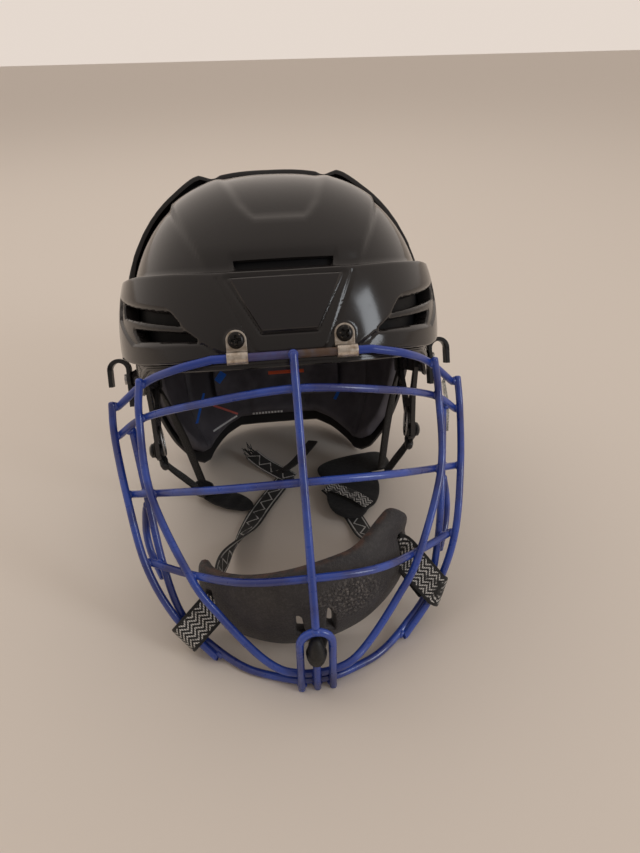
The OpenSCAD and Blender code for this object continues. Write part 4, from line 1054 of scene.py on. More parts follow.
# %% [markdown]
# ## Chin cup
# The cup is moulded from soft foam with a leathery skin: a crescent with a fat round rim, slots
# for the webbing near its tips and two slits beside its front boss. It is a piece of an
# ellipsoid in its own tilted frame. Its wall is rounded off towards every edge, as a half circle
# of the wall's thickness. The skin is cracked in small scales, and the edges are rubbed brown.

# %% Outlines of the chin cup
CUP_MID = np.array([0, 50 - REACH, HINGE_Z - 134.0])
CUP_A, CUP_B, CUP_C, CUP_WALL, CUP_ROLL = 71.0, 56.0, 56.0, 8.0, math.radians(11)
CUP_END = 77.0
CUP_ROWS, CUP_COLS, CUP_ARC = 72, 170, 1.1


def cup_at(p):
    """From the cup's own frame to the helmet's: rolled about Y, then moved into the cage."""
    p = np.asarray(p, float)
    c, s = math.cos(CUP_ROLL), math.sin(CUP_ROLL)
    return CUP_MID + np.stack([p[..., 0] * c - p[..., 2] * s, p[..., 1],
                               p[..., 0] * s + p[..., 2] * c], -1)


def cup_point(th, ps, off):
    t, p = np.radians(th), np.radians(ps)
    off = off + 8 * ease((th - 36) / 40) * ease(ps / 14)
    return np.stack([(CUP_A + off) * np.sin(t) * np.cos(p), -(CUP_B + off) * np.cos(t) * np.cos(p),
                     (CUP_C + off) * np.sin(p)], -1)


def cup_low(th):
    return -66 + np.where(th < 0, 30, 34) * (np.abs(th) / CUP_END) ** 1.6


def cup_high(th):
    right_end = 11 * ease((th - 22) / 40) - 15 * ease((th - 60) / 17)
    return 11 + np.where(th < 0, 10 * (th / CUP_END) ** 2, right_end)


SIDE_SLOT = [(65.4, -19), (69.2, -19), (69.2, 3), (65.4, 3)]
FRONT_SLITS = [[(-12.4, -19.5), (-10.6, -22), (-13.2, -37.5), (-18, -34)],
               [(6.2, -20.5), (8.6, -26), (8.8, -39), (2.6, -34)]]


def cup_hole(u, v):
    return np.minimum.reduce([outline_distance(np.abs(u), v, SIDE_SLOT, 0.4)]
                             + [outline_distance(u, v, slit, 0.5) for slit in FRONT_SLITS])


print("holes in the cup:", 2 + len(FRONT_SLITS))

# %% Chin cup surface
t, s = np.meshgrid(np.linspace(0, 1, CUP_ROWS), np.linspace(-CUP_END, CUP_END, CUP_COLS),
                   indexing="ij")
t = 0.5 - 0.5 * np.cos(np.pi * (0.12 + 0.76 * t)) / np.cos(np.pi * 0.12)
cup_th, cup_ps = s, cup_low(s) + (cup_high(s) - cup_low(s)) * t
u, v = cup_th * CUP_ARC, CUP_C * np.sin(np.radians(cup_ps))
u, v, moved = snap(u, v, cup_hole, 2 * CUP_END / CUP_COLS * CUP_ARC, 0.75)
cup_th = np.where(moved, u / CUP_ARC, cup_th)
cup_ps = np.where(moved, np.degrees(np.arcsin(np.clip(v / CUP_C, -1, 1))), cup_ps)
edge = np.minimum(np.minimum(cup_ps - cup_low(cup_th), cup_high(cup_th) - cup_ps) * 0.96,
                  (CUP_END - np.abs(cup_th)) * CUP_ARC)
half, to_hole = CUP_WALL / 2, cup_hole(u, v)
shrink = lip(np.maximum(to_hole, 0), 1.1) - half * (1 - quarter(edge, half))
boss = 3.0 * ease(1 - np.hypot((u + 3) / 9, (v + 38) / 13)) * ease(edge / 5)
cheek = 1.2 * np.sin(np.radians(cup_th) * 3.2) ** 2 * ease((np.abs(cup_th) - 20) / 30)
outer = cup_point(cup_th, cup_ps, shrink + boss + cheek * ease(edge / 9))
inner = cup_point(cup_th, cup_ps, -CUP_WALL - shrink)
cup_faces = sheet_faces(CUP_ROWS, CUP_COLS, inside_cells(to_hole, wrap=False))
cup_uv = np.tile(np.stack([u, v], -1).reshape(-1, 2) / 1000, (2, 1))
wear = np.tile((1 - ease((edge - 0.4) / 2.6)).ravel(), 2)
print("cup points moved to edges of openings:", int(moved.sum()))

# %% Skin of the chin cup
cup_skin = finish("cup_skin", (0.04, 0.035, 0.034), 0.62, Sheen_Weight=0.1, Sheen_Roughness=0.5)
crack = spread(cup_skin, cells(cup_skin, 430, "DISTANCE_TO_EDGE"), 0.0, 0.14)
on_map = split_axes(cup_skin, coords(cup_skin, "UV"))
area = noise(cup_skin, 45, 4)
for k, mid, size in ((0, 0.021, 0.026), (1, -0.018, 0.016)):
    far = math_node(cup_skin, "DIVIDE", math_node(cup_skin, "SUBTRACT", on_map[k], mid), size)
    area = math_node(cup_skin, "ADD", area, math_node(cup_skin, "POWER", far, 2))
area = spread(cup_skin, area, 0.55, 1.35, 1, 0.12)
fine = noise(cup_skin, 1500, 5)
tone = blend_color(cup_skin, mottle(cup_skin, 60, 5, 0.35, 0.65),
                   (0.026, 0.023, 0.024), (0.043, 0.039, 0.039))
scales = product(cup_skin, area, mottle(cup_skin, 600, 4, 0.5, 0.64), 0.5)
tone = blend_color(cup_skin, scales, tone, (0.34, 0.31, 0.285))
rubbed = node(cup_skin, "ShaderNodeAttribute", attribute_name="wear").outputs["Fac"]
rubbed = product(cup_skin, rubbed, mottle(cup_skin, 170, 5, 0.4, 0.58))
feed(cup_skin, Base_Color=blend_color(cup_skin, rubbed, tone, (0.1, 0.055, 0.04)),
     Roughness=spread(cup_skin, fine, 0.3, 0.7, 0.42, 0.7))
bump(cup_skin, math_node(cup_skin, "ADD", product(cup_skin, crack, area, 0.9),
                         product(cup_skin, fine, 0.4)), 1.0, 0.0009)
cup = put("chin_cup_skin", rest(cup_at(layers(outer, inner))), cup_faces, "cage",
          cup_skin, ["chin_cup"], sharp=70, uv=cup_uv, wear=wear)
print("cup faces:", len(cup.data.polygons))

# %% [markdown]
# The cup's front boss ends in a soft egg-shaped tab, which is pulled through the chin loop so
# that its fat end holds it there. It is a swept oval whose radius swells and narrows.

# %% Tab through the chin loop
tab_mid = foot + lean * 31.5
deep = math.radians(46)
tab_root = cup_at([0, -(CUP_B - 2) * math.cos(deep), -(CUP_C - 2) * math.sin(deep)])
a = np.radians(np.linspace(-86, 86, 30))
egg = tab_mid + lean * (11 * np.sin(a))[:, None]
width = np.where(a < 0, 6.2, 5.0) * np.cos(a) ** 0.9
neck = curve([tab_root, (tab_root + tab_mid) / 2, tab_mid], 8)
p, f = join([sweep(egg, ACROSS, width, 6.8 * np.cos(a), 28)[:2],
             sweep(neck, ACROSS, 4.6, 1.9, 20, square=3)[:2]])
tab_soft = finish("tab_soft", (0.009, 0.009, 0.009), 0.5)
feed(tab_soft, Roughness=mottle(tab_soft, 500, 5, 0.3, 0.7, 0.45, 0.7))
bump(tab_soft, noise(tab_soft, 1300, 4), 0.4, 0.0002)
put("cup_tab_egg", rest(p), f, "cage", tab_soft, ["cup_tab"])
print("points of the tab:", len(p))

# %% [markdown]
# ## Webbing and straps
# Webbing is woven flat, as a twill of threads across and along. The patterned kind has white
# threads that surface in dashes; here they run in a plain zigzag. Each strap is a flat oval
# swept along its path with its own UV map in metres, so the weave follows every bend and twist.


# %% Strap shapes
def strap_uv(path, c, half):
    """UV in metres for a sweep of that half width: along the path, and across it."""
    run = np.concatenate([[0], np.cumsum(np.linalg.norm(np.diff(path, axis=0), axis=1))]) / 1000
    uv = np.stack(np.broadcast_arrays(run[:, None], c * half / 1000), -1).reshape(-1, 2)
    return np.concatenate([uv, [[0, 0], [run[-1], 0]]])


def ribbon(path, side, width, thick):
    """(points, faces, uv) of a flat strap with rounded edges."""
    p, f, c = sweep(path, side, width / 2, thick / 2, 26, square=4)
    return p, f, strap_uv(path, c, width / 2)


def lay_strap(name, path, side, size, body, material, stands_for=()):
    """Puts a flat strap of that width and thickness along a path."""
    p, f, uv = ribbon(path, side, *size)
    put(name, rest(p), f, body, material, stands_for, uv=uv)


def over_table(*places):
    """Points (x, y, height over the table), as points of the helmet's frame."""
    return [on_table(*place) for place in places]


def lying(x, back, up=0):
    """A direction: x across, back along the table to the rear, and up off the table."""
    return np.array([x, 0, 0]) + TABLE_BACK * back + TABLE_UP * up


def web_material(name, color, marks=None):
    """Woven strap on its UV map. marks adds pale threads: a dense zigzag of dashes, or lines
    along both edges with one wide zigzag between them."""
    mat = finish(name, color, 0.75, Sheen_Weight=0.12, Sheen_Roughness=0.4)
    on_map = split_axes(mat, coords(mat, "UV"))
    u, v = product(mat, on_map[0], 1000), product(mat, on_map[1], 1000)
    twill = math_node(mat, "SINE", product(mat, math_node(mat, "ADD", u, v), 6))
    cross = math_node(mat, "SINE", product(mat, v, 7.8))
    weave = spread(mat, product(mat, twill, cross), -1, 1)
    bump(mat, weave, 0.8, 0.0004)
    tone = blend_color(mat, weave, tuple(0.55 * k for k in color), tuple(1.5 * k for k in color))
    if marks:
        dense = marks == "dense"
        wave = math_node(mat, "ADD", v, math_node(mat, "PINGPONG", u, 3.5 if dense else 7.0))
        zigzag = (math_node(mat, "PINGPONG", wave, 1.5) if dense else
                  math_node(mat, "ABSOLUTE", math_node(mat, "SUBTRACT", wave, 3.5)))
        aside, reach = math_node(mat, "ABSOLUTE", v), 7.8 if dense else 5.2
        line = product(mat, spread(mat, zigzag, 0.55, 0.75, 1, 0),
                       spread(mat, aside, reach, reach + 0.4, 1, 0))
        if not dense:
            edge = math_node(mat, "ABSOLUTE", math_node(mat, "SUBTRACT", aside, 5.6))
            line = math_node(mat, "MAXIMUM", line, spread(mat, edge, 0.35, 0.6, 1, 0))
        dash = spread(mat, math_node(mat, "PINGPONG", u, 0.55), 0.1, 0.17)
        worn = mottle(mat, 110, 4, 0.36 if dense else 0.32, 0.46 if dense else 0.44)
        tone = blend_color(mat, product(mat, line, dash, worn), tone, (0.72, 0.7, 0.67))
    feed(mat, Base_Color=tone)
    return mat


web_marked = web_material("web_marked", (0.011, 0.011, 0.011), "dense")
web_lined = web_material("web_lined", (0.011, 0.011, 0.011), "lined")
web_plain = web_material("web_plain", (0.012, 0.01, 0.009))
print("materials so far:", len(bpy.data.materials))


# %% Webbing of the chin cup
def web_loop(s, k, m):
    """Webbing from the cup's side slot out round the rim and the side bar together, and back."""
    k, m = k * K // 4, m * K // 5
    a, b = rim_path[half_n + k] * [s, 1, 1], side_path[m] * [s, 1, 1]
    w = (a + b) / 2
    along = unit(rim_path[half_n + k + 3] - rim_path[half_n + k - 3]) * [s, 1, 1]
    start = cup_at([s * (CUP_A - 1.2) * math.sin(math.radians(62)),
                    -(CUP_B - 1.2) * math.cos(math.radians(62)), -8])
    d = unit(w - start - along * ((w - start) @ along))
    u = unit(np.cross(along, d))
    r = np.linalg.norm(a - b) / 2 + WIRE_R + 0.8 + 0.4
    arc = np.radians(np.arange(90, -91, -10))[:, None]
    bend = w + u * r * np.sin(arc) + d * r * np.cos(arc)
    near = start + (w - start) * 0.45
    front = curve([start - d * 4 + u * 0.95, start + u * 0.9, near + u * r * 0.6, bend[0]], 6)
    rear = curve([bend[-1], near - u * r * 0.6, start - u * 0.9, start - d * 4 - u * 0.95], 6)
    return np.concatenate([front[:-1], bend, rear[1:]]), along


for s, side, k, m in ((-1, "left", 18, 22), (1, "right", 20, 20)):
    path, along = web_loop(s, k, m)
    lay_strap("cup_web_" + side + "_strap", path, along, (20, 1.6), "cage",
              web_marked, ["cup_web_" + side])

tip_x, tip_y = math.sin(math.radians(70)), math.cos(math.radians(70))
tip_x, tip_y = (CUP_A - CUP_WALL) * tip_x, -(CUP_B - CUP_WALL) * tip_y + 1
path = curve([cup_at([-tip_x, tip_y, -2]),
              *over_table((-56, -76, 20), (-48, -48, 11), (-37, -20, 4.5), (-25, 6, 2),
                          (-12, 27, 1.6), (0, 45, 1.6))], 14)
a = np.radians(100 * (1 - ease((np.arange(len(path)) / 3.5 - 5) / 10)))[:, None]
side = lying(0.88, -0.48) * np.cos(a) + TABLE_UP * np.sin(a)
lay_strap("neck_web_left_strap", path, side, (15, 1.6), "cage", web_lined,
          ["neck_web_left"])
tip_right = cup_at([tip_x, tip_y, -2])
path = curve([tip_right, tip_right + [-2, 20, -10],
              *over_table((59, -57, 12), (54, -37, 3.4), (48, -10, 1.2), (40, 14, 1.1),
                          (34, 26, 1.1))], 14)
lift = 0.5 * (1 - ease((np.arange(len(path)) / 3.5 - 1) / 7))[:, None]
lay_strap("neck_web_right_strap", path, lying(-0.85, 0.52, lift), (15, 1.6), "cage",
          web_lined, ["neck_web_right"])
print("points along the neck webbing:", len(path))

# %% [markdown]
# ## Foam liner
# Behind each shell lies a black foam moulding, divided by channels on its inner side. The front
# one is near black, which is partly painted shade for what is seen through the vents. Its
# rounded edge is part of a circle: a wall of half thickness h loses h - sqrt(h^2 - e^2) on both
# sides, where e is by how much the edge is nearer than h. Printed accents lie on the rear one.


# %% Foam and printing
def round_over(edge, half):
    """How much a wall of that half thickness loses on each side, edge mm from its border."""
    return half * (1 - quarter(edge, half, 0.96))


def printed(mat, tone, bars):
    """Printed bars over a tone: each is (x, z, turn, half length, half width, colour) in mm."""
    for x, z, turn, length, width, color in bars:
        m = node(mat, "ShaderNodeMapping", vector_type="TEXTURE", Location=(x / 1000, z / 1000, 0),
                 Rotation=(0, 0, math.radians(turn)))
        link(mat, coords(mat, "UV"), m.inputs["Vector"])
        on_bar = split_axes(mat, m.outputs["Vector"])
        ink = mottle(mat, 900, 3, 0.3, 0.5, 0.6, 1)
        for k, size in ((0, length), (1, width)):
            aside = math_node(mat, "ABSOLUTE", on_bar[k])
            ink = product(mat, ink, spread(mat, aside, size / 1000, (size + 0.25) / 1000, 1, 0))
        tone = blend_color(mat, ink, tone, color)
    return tone


ORANGE, BLUE, RED, PALE = (0.9, 0.14, 0.05), (0.02, 0.16, 0.75), (0.7, 0.16, 0.13), (0.8, 0.8, 0.8)
ACCENTS = [(10, -24, 0, 17, 1.5, ORANGE), (-52, -24, 50, 5, 3.2, BLUE),
           (-72, -50, 74, 13, 0.9, BLUE), (-50, -55, -26, 12, 0.8, RED),
           (-51, -67, 24, 12, 0.7, PALE), (58, -46, 60, 8, 1.2, BLUE)]
ACCENTS += [(x, -62, 0, 0.9, 0.9, PALE) for x in range(-24, 6, 3)]


def foam_material(name, bars):
    """Moulded foam: fine round cells, soft patches and printed bars."""
    mat = finish(name, (0.055, 0.052, 0.062), 0.55, Specular_IOR_Level=0.4)
    tone = blend_color(mat, mottle(mat, 30, 4, 0.35, 0.65), (0.068, 0.063, 0.074),
                       (0.12, 0.112, 0.13))
    feed(mat, Base_Color=printed(mat, tone, bars),
         Roughness=mottle(mat, 45, 3, 0.3, 0.7, 0.45, 0.72))
    bump(mat, cells(mat, 900), 0.35, 0.0002)
    return mat


foam_printed = foam_material("foam_printed", ACCENTS)
# The front foam's near-black colour is partly painted shade: it is darker than the rear foam so that
# the foam seen through the vents and the brow slot looks shaded.
foam_black_painted_shade = finish("foam_black_painted_shade", (0.005, 0.005, 0.006), 0.7, Specular_IOR_Level=0.2)
worn_gloss(foam_black_painted_shade, 0.5, 0.75, 0.0001)
print("printed bars:", len(ACCENTS))

# %% Front foam
FOAM_OUT, FOAM_T, FOAM_COLS, FOAM_ARC = -4.2, 11.0, 240, 1.87
SCREW_Z = 42.0
th = np.arange(FOAM_COLS) * 360.0 / FOAM_COLS
low = at_level(th, -4.0)
cut = np.where(fold(th) < REAR_FROM, low, at_plane(th, 24.0, low))
t = np.concatenate([np.linspace(0, 0.05, 6)[:-1], np.linspace(0.05, 0.98, 56)])[:, None]
foam_ph = cut + (90 - cut) * t
foam_th = np.broadcast_to(th, foam_ph.shape)
search = np.linspace(88, 104, 161)
side_y = skin(search, at_level(search, SCREW_Z), -9.0 + 0 * search)[:, 1]
hole_th = search[np.abs(side_y - 10).argmin()]


def screw_hole(u, v):
    return np.hypot(np.abs(u) - hole_th * FOAM_ARC, v - SCREW_Z) - 7.0


foam_th, foam_ph, to_screw = snap_on_dome(foam_th, foam_ph, screw_hole, FOAM_ARC, 2.8, 2.4)
loss = round_over(t * (90 - cut) * 2.0, FOAM_T / 2)
channel = np.minimum.reduce([np.abs(fold(foam_th) - b) * 1.75 for b in (24, 53, 82, 118)]
                            + [np.abs(foam_ph - 56) * 1.9])
sunk = -groove(channel, 8, 2.6) * ease((foam_ph - 8) / 8)
outer = skin(foam_th, foam_ph, FOAM_OUT - loss)
inner = skin(foam_th, foam_ph, FOAM_OUT - FOAM_T + loss + sunk * (1 - ease((loss - 0.5) / 2)))
p, f = head_shell(outer, inner, HIGH + FOAM_OUT, HIGH + FOAM_OUT - FOAM_T, inside_cells(to_screw))
# The front foam takes the near-black finish, partly painted shade for the vents and the brow slot.
put("front_foam", rest(p), f, "helmet", foam_black_painted_shade, ["front_liner"], sharp=60)
print("screw holes in the foam at bearing", round(float(hole_th), 1))

# %% Rear foam
BACK_ROWS, BACK_COLS, BACK_END, BACK_OUT = 64, 130, 71.6, 1.5
T, S = np.meshgrid(np.linspace(0, 1, BACK_ROWS), np.linspace(-BACK_END, BACK_END, BACK_COLS),
                   indexing="ij")
T = 0.5 - 0.5 * np.cos(np.pi * (0.08 + 0.84 * T)) / np.cos(np.pi * 0.08)
back_th = 180 + S
low, top = at_level(back_th, rear_low(back_th) + 5), at_plane(back_th, 39.0, 0 * back_th)
back_ph = low + (top - low) * T
edge = np.minimum((BACK_END - np.abs(S)) * 2.0, np.minimum(T, 1 - T) * (top - low) * 2.1)
loss = round_over(edge, FOAM_T / 2)
channel = np.minimum.reduce([np.abs(np.abs(S) - b) * 2.1 for b in (13, 44)]
                            + [np.abs(back_ph - 12) * 2.0])
sunk = -groove(channel, 8, 2.4) * (1 - ease((loss - 0.5) / 2))
p = layers(skin(back_th, back_ph, BACK_OUT - loss),
           skin(back_th, back_ph, BACK_OUT - FOAM_T + loss + sunk))
put("rear_foam", rest(p), sheet_faces(BACK_ROWS, BACK_COLS), "rear", foam_printed,
    ["rear_liner"], uv=p[:, [0, 2]] / 1000, sharp=60)
print("rear foam points:", len(p))

# %% [markdown]
# ## Comfort pads
# The pads are fabric over soft foam. Each starts as a slab a little thinner than its solid, with
# sunk seams, and is then blown up by a short cloth simulation with pressure and no gravity.
# How far a point may move is capped, and is least at the seams and the border.


# %% Comfort pads
PAD_MM, CHIN_MM = 1.1, 0.8
pads = []


def cloth_material(name, color, bars=()):
    """Knitted fabric: fine loops on object coordinates, soft sheen, lint and pilling."""
    mat = finish(name, color, 0.72, Sheen_Weight=0.12, Sheen_Roughness=0.45, Specular_IOR_Level=0.3)
    tone = blend_color(mat, mottle(mat, 50, 5, 0.35, 0.65),
                       tuple(0.7 * k for k in color), tuple(1.4 * k for k in color))
    lint = mottle(mat, 2600, 2, 0.7, 0.76, 0, 0.35)
    tone = blend_color(mat, lint, tone, (0.12, 0.11, 0.1))
    feed(mat, Base_Color=printed(mat, tone, bars),
         Roughness=mottle(mat, 300, 3, 0.3, 0.7, 0.62, 0.85))
    pilling = product(mat, noise(mat, 160, 3), 0.8)
    bump(mat, math_node(mat, "ADD", cells(mat, 1250), pilling), 0.6, 0.0003)
    return mat


pad_cloth = cloth_material("pad_cloth", (0.038, 0.036, 0.042))
pad_printed = cloth_material("pad_printed", (0.1, 0.094, 0.112), ACCENTS)
strap_cloth = cloth_material("strap_cloth", (0.01, 0.01, 0.011))


def pad(name, th, z, out, seams, body="helmet", material=pad_cloth, turn=1):
    """A pad from bearing th[0] to th[1] and level z[0] to z[1], with upright seams there."""
    rows, wide, tall = 22, th[1] - th[0], (z[1] - z[0]) / 2
    cols = int(wide / 1.5)
    T, S = np.meshgrid(np.linspace(-1, 1, rows), np.linspace(-1, 1, cols), indexing="ij")
    at_th = (th[0] + th[1]) / 2 + S * np.sqrt(1 - 0.1 * T ** 4) * wide / 2
    at_ph = at_level(at_th, (z[0] + z[1]) / 2 + T * np.sqrt(1 - 0.16 * S ** 8) * tall)
    border = np.minimum((1 - np.abs(S)) * wide, (1 - np.abs(T)) * tall)
    seam = np.minimum.reduce([border] + [np.abs(at_th - k) * 2.0 for k in seams])
    half = 0.5 + 1.6 * quarter(seam, 4.5)
    p = layers(*(skin(at_th, at_ph, out - 3.4 + k * half) for k in (1, -1))) * [turn, 1, 1]
    faces = sheet_faces(rows, cols)
    piece = put(name + "_cloth", rest(p), turned(faces) if turn < 0 else faces, body,
                material, [name], uv=p[:, [0, 2]] / 1000)
    pads.append((piece, np.tile(ease(seam.ravel() / 5), 2), PAD_MM))


pad("brow_pad", (-50, 50), (-3, 26), -16.3, (-17, 17))
pad("temple_pad_left", (56, 96), (-3, 34), -16.3, (76,), turn=-1)
pad("temple_pad_right", (56, 96), (-3, 34), -16.3, (76,))
pad("nape_pad", (150, 210), (-52, -14), -11.5, (171, 189), "rear", pad_printed)
print("pads so far:", len(pads))

# %% Crown pad
CROWN_OUT = -22.7
A, P = np.meshgrid(np.arange(96) * 3.75, np.linspace(58, 89, 22))
seam = np.minimum(P - 58, np.abs(P - 74)) * 2.1
half = 0.5 + 1.6 * quarter(seam, 5)
p, f = head_shell(skin(A, P, CROWN_OUT + half), skin(A, P, CROWN_OUT - half),
                  HIGH + CROWN_OUT + 2.1, HIGH + CROWN_OUT - 2.1)
crown_pad = put("crown_pad_cloth", rest(p), f, "helmet", pad_cloth, ["crown_pad"],
                uv=p[:, :2] / 1000)
free = np.concatenate([np.tile(ease(seam.ravel() / 5), 2), [1, 1]])
pads.append((crown_pad, free, PAD_MM))
print("crown pad points:", len(p))

# %% [markdown]
# ## Chin straps
# On each side a plain strap comes from the snap stud and another from inside the ear guard.
# They meet in a padded end which lies on the table. The right pad is broad, with a strip of
# patterned webbing sewn on it. The pads are swept ovals, blown up with the others.

# %% Chin straps and their hardware
JOIN = {-1: on_table(-73, 24, 10), 1: on_table(83, 25, 10)}
RING_N, WIRE_N = 48, 12


def wire_ring(middle, s):
    """(points, faces) of a thin wire bent to an upright oval that leans a little."""
    a = np.linspace(0, 2 * np.pi, RING_N, endpoint=False)[:, None]
    b = np.linspace(0, 2 * np.pi, WIRE_N, endpoint=False)[:, None]
    oval = middle + np.cos(a) * [0, 5.2, 0] + np.sin(a) * [s * 1.2, 0, 11]
    ahead = unit(np.roll(oval, -1, 0) - np.roll(oval, 1, 0))
    out_way = unit(np.cross(ahead, [1.0, 0, 0]))
    round_it = out_way[:, None] * np.cos(b) + np.cross(ahead, out_way)[:, None] * np.sin(b)
    last, first = np.arange(WIRE_N) + (RING_N - 1) * WIRE_N, np.arange(WIRE_N)
    faces = [grid_faces(RING_N, WIRE_N, wrap=True), ring_faces(last, first)]
    return (oval[:, None] + 0.85 * round_it).reshape(-1, 3), faces


for s, side in ((-1, "left"), (1, "right")):
    j, ring_at = JOIN[s], np.array([s * 101.75, -9, -71.0])
    path = np.concatenate([[ring_at + [0, 0, 6], ring_at + [0, 0, 2]],
                           curve([ring_at - [0, 0, 3], ring_at * 0.68 + j * 0.32 - TABLE_UP * 5,
                                  ring_at * 0.34 + j * 0.66 - TABLE_UP * 3, j + [0, -4, 0]], 12)])
    t = np.concatenate([[0, 0], np.linspace(0, 2, 37)])[:, None]
    lay_strap("strap_front_" + side + "_web", path,
              np.array([0, 1, 0]) + ease(t / 1.4) * TABLE_UP * 0.3, (11, 2), "helmet",
              web_plain, ["strap_front_" + side])
    slide_path = path[8] + unit(path[11] - path[8]) * np.array([[-3.5], [0.0], [3.5]])
    p, f, _ = sweep(slide_path, [0, 1, 0.3], [6.6, 7.4, 6.6], [2.2, 2.8, 2.2], 28, square=5)
    slider = put("strap_slider_" + side, rest(p), f, "helmet", knob_black)
    bevel = slider.modifiers.new("round", "BEVEL")
    bevel.width, bevel.segments, bevel.limit_method = 0.0008, 3, "ANGLE"
    p, f = wire_ring(ring_at + [-s * 6.3, 0, 7], s)
    put("strap_ring_" + side, rest(p), f, "helmet", screw_steel)
    top = np.array([s * 96.25, 18, -13])
    path = np.concatenate([[top, top - [0, 0, 5]],
                           curve([top - [0, 0, 11], top + [0, 0.5, -15],
                                  (top - [0, 0, 15] + j) / 2 - [s * 3, 0, 0], j + [-s * 2, 5, 3]], 12)])
    t = ease(np.concatenate([[0, 0], np.linspace(-0.33, 2, 37)]) / 1.2)[:, None]
    lay_strap("strap_rear_" + side + "_web", path,
              np.array([s, 0.5, 0.4]) * t + np.array([0, 1.0, 0]) * (1 - t), (8, 2), "helmet",
              web_plain, ["strap_rear_" + side])
print("points along a rear strap:", len(path))


# %% Padded ends of the chin straps
def chin_pad(side, path, low, high, across):
    """A padded strap end, widest half way; UV runs along it and across it in metres."""
    path = curve(path, 14)
    t = np.linspace(0, 1, len(path))
    swell = np.sin(np.pi * t)
    close = np.sqrt(np.clip(1 - np.abs(2 * t - 1) ** 9, 0.02, 1))
    width = (low + (high - low) * swell - 0.9) * (0.35 + 0.65 * close)
    thick = (2.4 + swell - 0.9) * (0.3 + 0.7 * close) * (1 + 0.1 * np.sin(t * 23 + 1))
    p, f, c = sweep(path, across, width, thick, 36, square=2.6)
    piece = put("chin_pad_" + side + "_cloth", rest(p), f, "helmet", strap_cloth,
                ["chin_pad_" + side], uv=strap_uv(path, c, width[:, None]))
    free = np.tile(0.25 + 0.75 * ease((1 - np.abs(c)) * 3), len(path))
    pads.append((piece, np.concatenate([free, [0, 0]]), CHIN_MM))


def rounded_end(name, places, steps, side, half_w, half_t, blunt, least, n, square, material):
    """A swept oval with rounded ends: both half sizes go as sqrt(1 - |t|^blunt) along it."""
    path = curve(over_table(*places), steps)
    share = np.sqrt(np.clip(1 - np.abs(np.linspace(-1, 1, len(path))) ** blunt, least, 1))
    p, f, _ = sweep(path, side, half_w * share, half_t * share, n, square)
    put(name, rest(p), f, "helmet", material)


chin_pad("left", over_table((-71, 25, 6), (-57, 18, 6), (-43, 10, 6), (-32, 3, 5.6)), 6, 11,
         [0.4, 1, 0.45])
chin_pad("right", over_table((66, 36, 7.6), (60, 22, 7.6), (52, 7, 7.6), (47, -8, 7.4), (48, -22, 7)),
         9, 22, [1, 0.3, 0.1])
path = curve(over_table((31, 12, 11.0), (41, 5, 11.9), (52, -4, 11.8), (61, -13, 10.4)), 12)
lay_strap("sewn_strip", path, lying(0.6, 0.8), (11, 1.1), "helmet", web_marked)
rounded_end("strap_flap", [(90, 44, 9), (76, 42, 9.4), (60, 40, 9.2), (44, 37, 8.6), (28, 31, 7.6)],
            12, lying(-0.12, 1), 14, 2.1, 7, 0.03, 36, 2.6, strap_cloth)
rounded_end("strap_keeper", [(-79, 29, 11), (-72, 25, 10.2), (-64, 21, 9)], 8, [0.4, 1, 0.45],
            8.5, 4.6, 4, 0.05, 32, 3, knob_black)
print("pads to blow up:", len(pads))

# %% Loose strap ends
path = curve(over_table((-5, 42, 7), (8, 52, 8), (19, 62, 11), (27, 68, 15)), 10)
lay_strap("strap_end", path, lying(0.75, -0.5, 0.45), (13, 2), "helmet", web_plain)
path = curve(over_table((4, 38, 3.4), (-9, 50, 4), (-20, 60, 5.4), (-29, 69, 8)), 12)
fray_side = lying(0.6, 0.7, 0.3)
p, f, uv = ribbon(path, fray_side, 13, 1.2)
threads = [(p, f)]
tip, ahead = path[-1], unit(path[-1] - path[-4])
rng = np.random.default_rng(5)
for k in range(22):
    root = tip + fray_side * rng.uniform(-6, 6) - ahead
    bend_to = ahead * rng.uniform(4, 11) + rng.normal(0, 2.0, 3) + TABLE_UP * rng.uniform(-1, 3)
    threads.append(tube(curve([root, root + ahead * 3, root + bend_to], 5), [0, 0.3, 1], 0.28,
                        n=6, end=0.2))
p, f = join(threads)
uv = np.concatenate([uv, np.zeros((len(p) - len(uv), 2))])
put("frayed_end", rest(p), f, "cage", web_lined, uv=uv)
print("loose threads:", len(threads) - 1)

# %% [markdown]
# The pads are blown up together. Blender's cloth simulation gives the way each point wants to
# go; it then goes that way by no more than its cap.

# %% Cloth simulation of the pads
def blow_up(pads, frames=20):
    """Runs Cloth on all pads at once, then moves each point by its capped share of the way."""
    for piece, _, _ in pads:
        cloth = piece.modifiers.new("cloth", "CLOTH")
        cloth.settings.quality = 4
        cloth.settings.mass = 0.2
        cloth.settings.use_pressure = True
        cloth.settings.uniform_pressure_force = 4
        cloth.settings.effector_weights.gravity = 0
        cloth.point_cache.frame_start, cloth.point_cache.frame_end = 1, frames
    for frame_number in range(1, frames + 1):
        bpy.context.scene.frame_set(frame_number)
    graph = bpy.context.evaluated_depsgraph_get()
    for piece, free, cap in pads:
        count = len(piece.data.vertices)
        start, end = np.empty(count * 3, np.float32), np.empty(count * 3, np.float32)
        piece.data.vertices.foreach_get("co", start)
        piece.evaluated_get(graph).data.vertices.foreach_get("co", end)
        start, move = start.reshape(-1, 3), (end - start).reshape(-1, 3)
        far = np.linalg.norm(move, axis=1, keepdims=True) + 1e-9
        move = move * np.minimum(1, cap / 1000 * free[:, None] / far)
        piece.modifiers.remove(piece.modifiers["cloth"])
        piece.data.vertices.foreach_set("co", (start + move).astype(np.float32).ravel())
        piece.data.update()
        print(piece.name, "moved up to %.2f mm" % (np.linalg.norm(move, axis=1).max() * 1000))
    bpy.context.scene.frame_set(1)


blow_up(pads)
for piece, _, _ in pads:
    smooth = piece.modifiers.new("smooth", "SUBSURF")
    smooth.levels = smooth.render_levels = 1

# %% [markdown]
# ## Clear plate
# A small clear plate stands behind the right side bar. It is scratched all over.

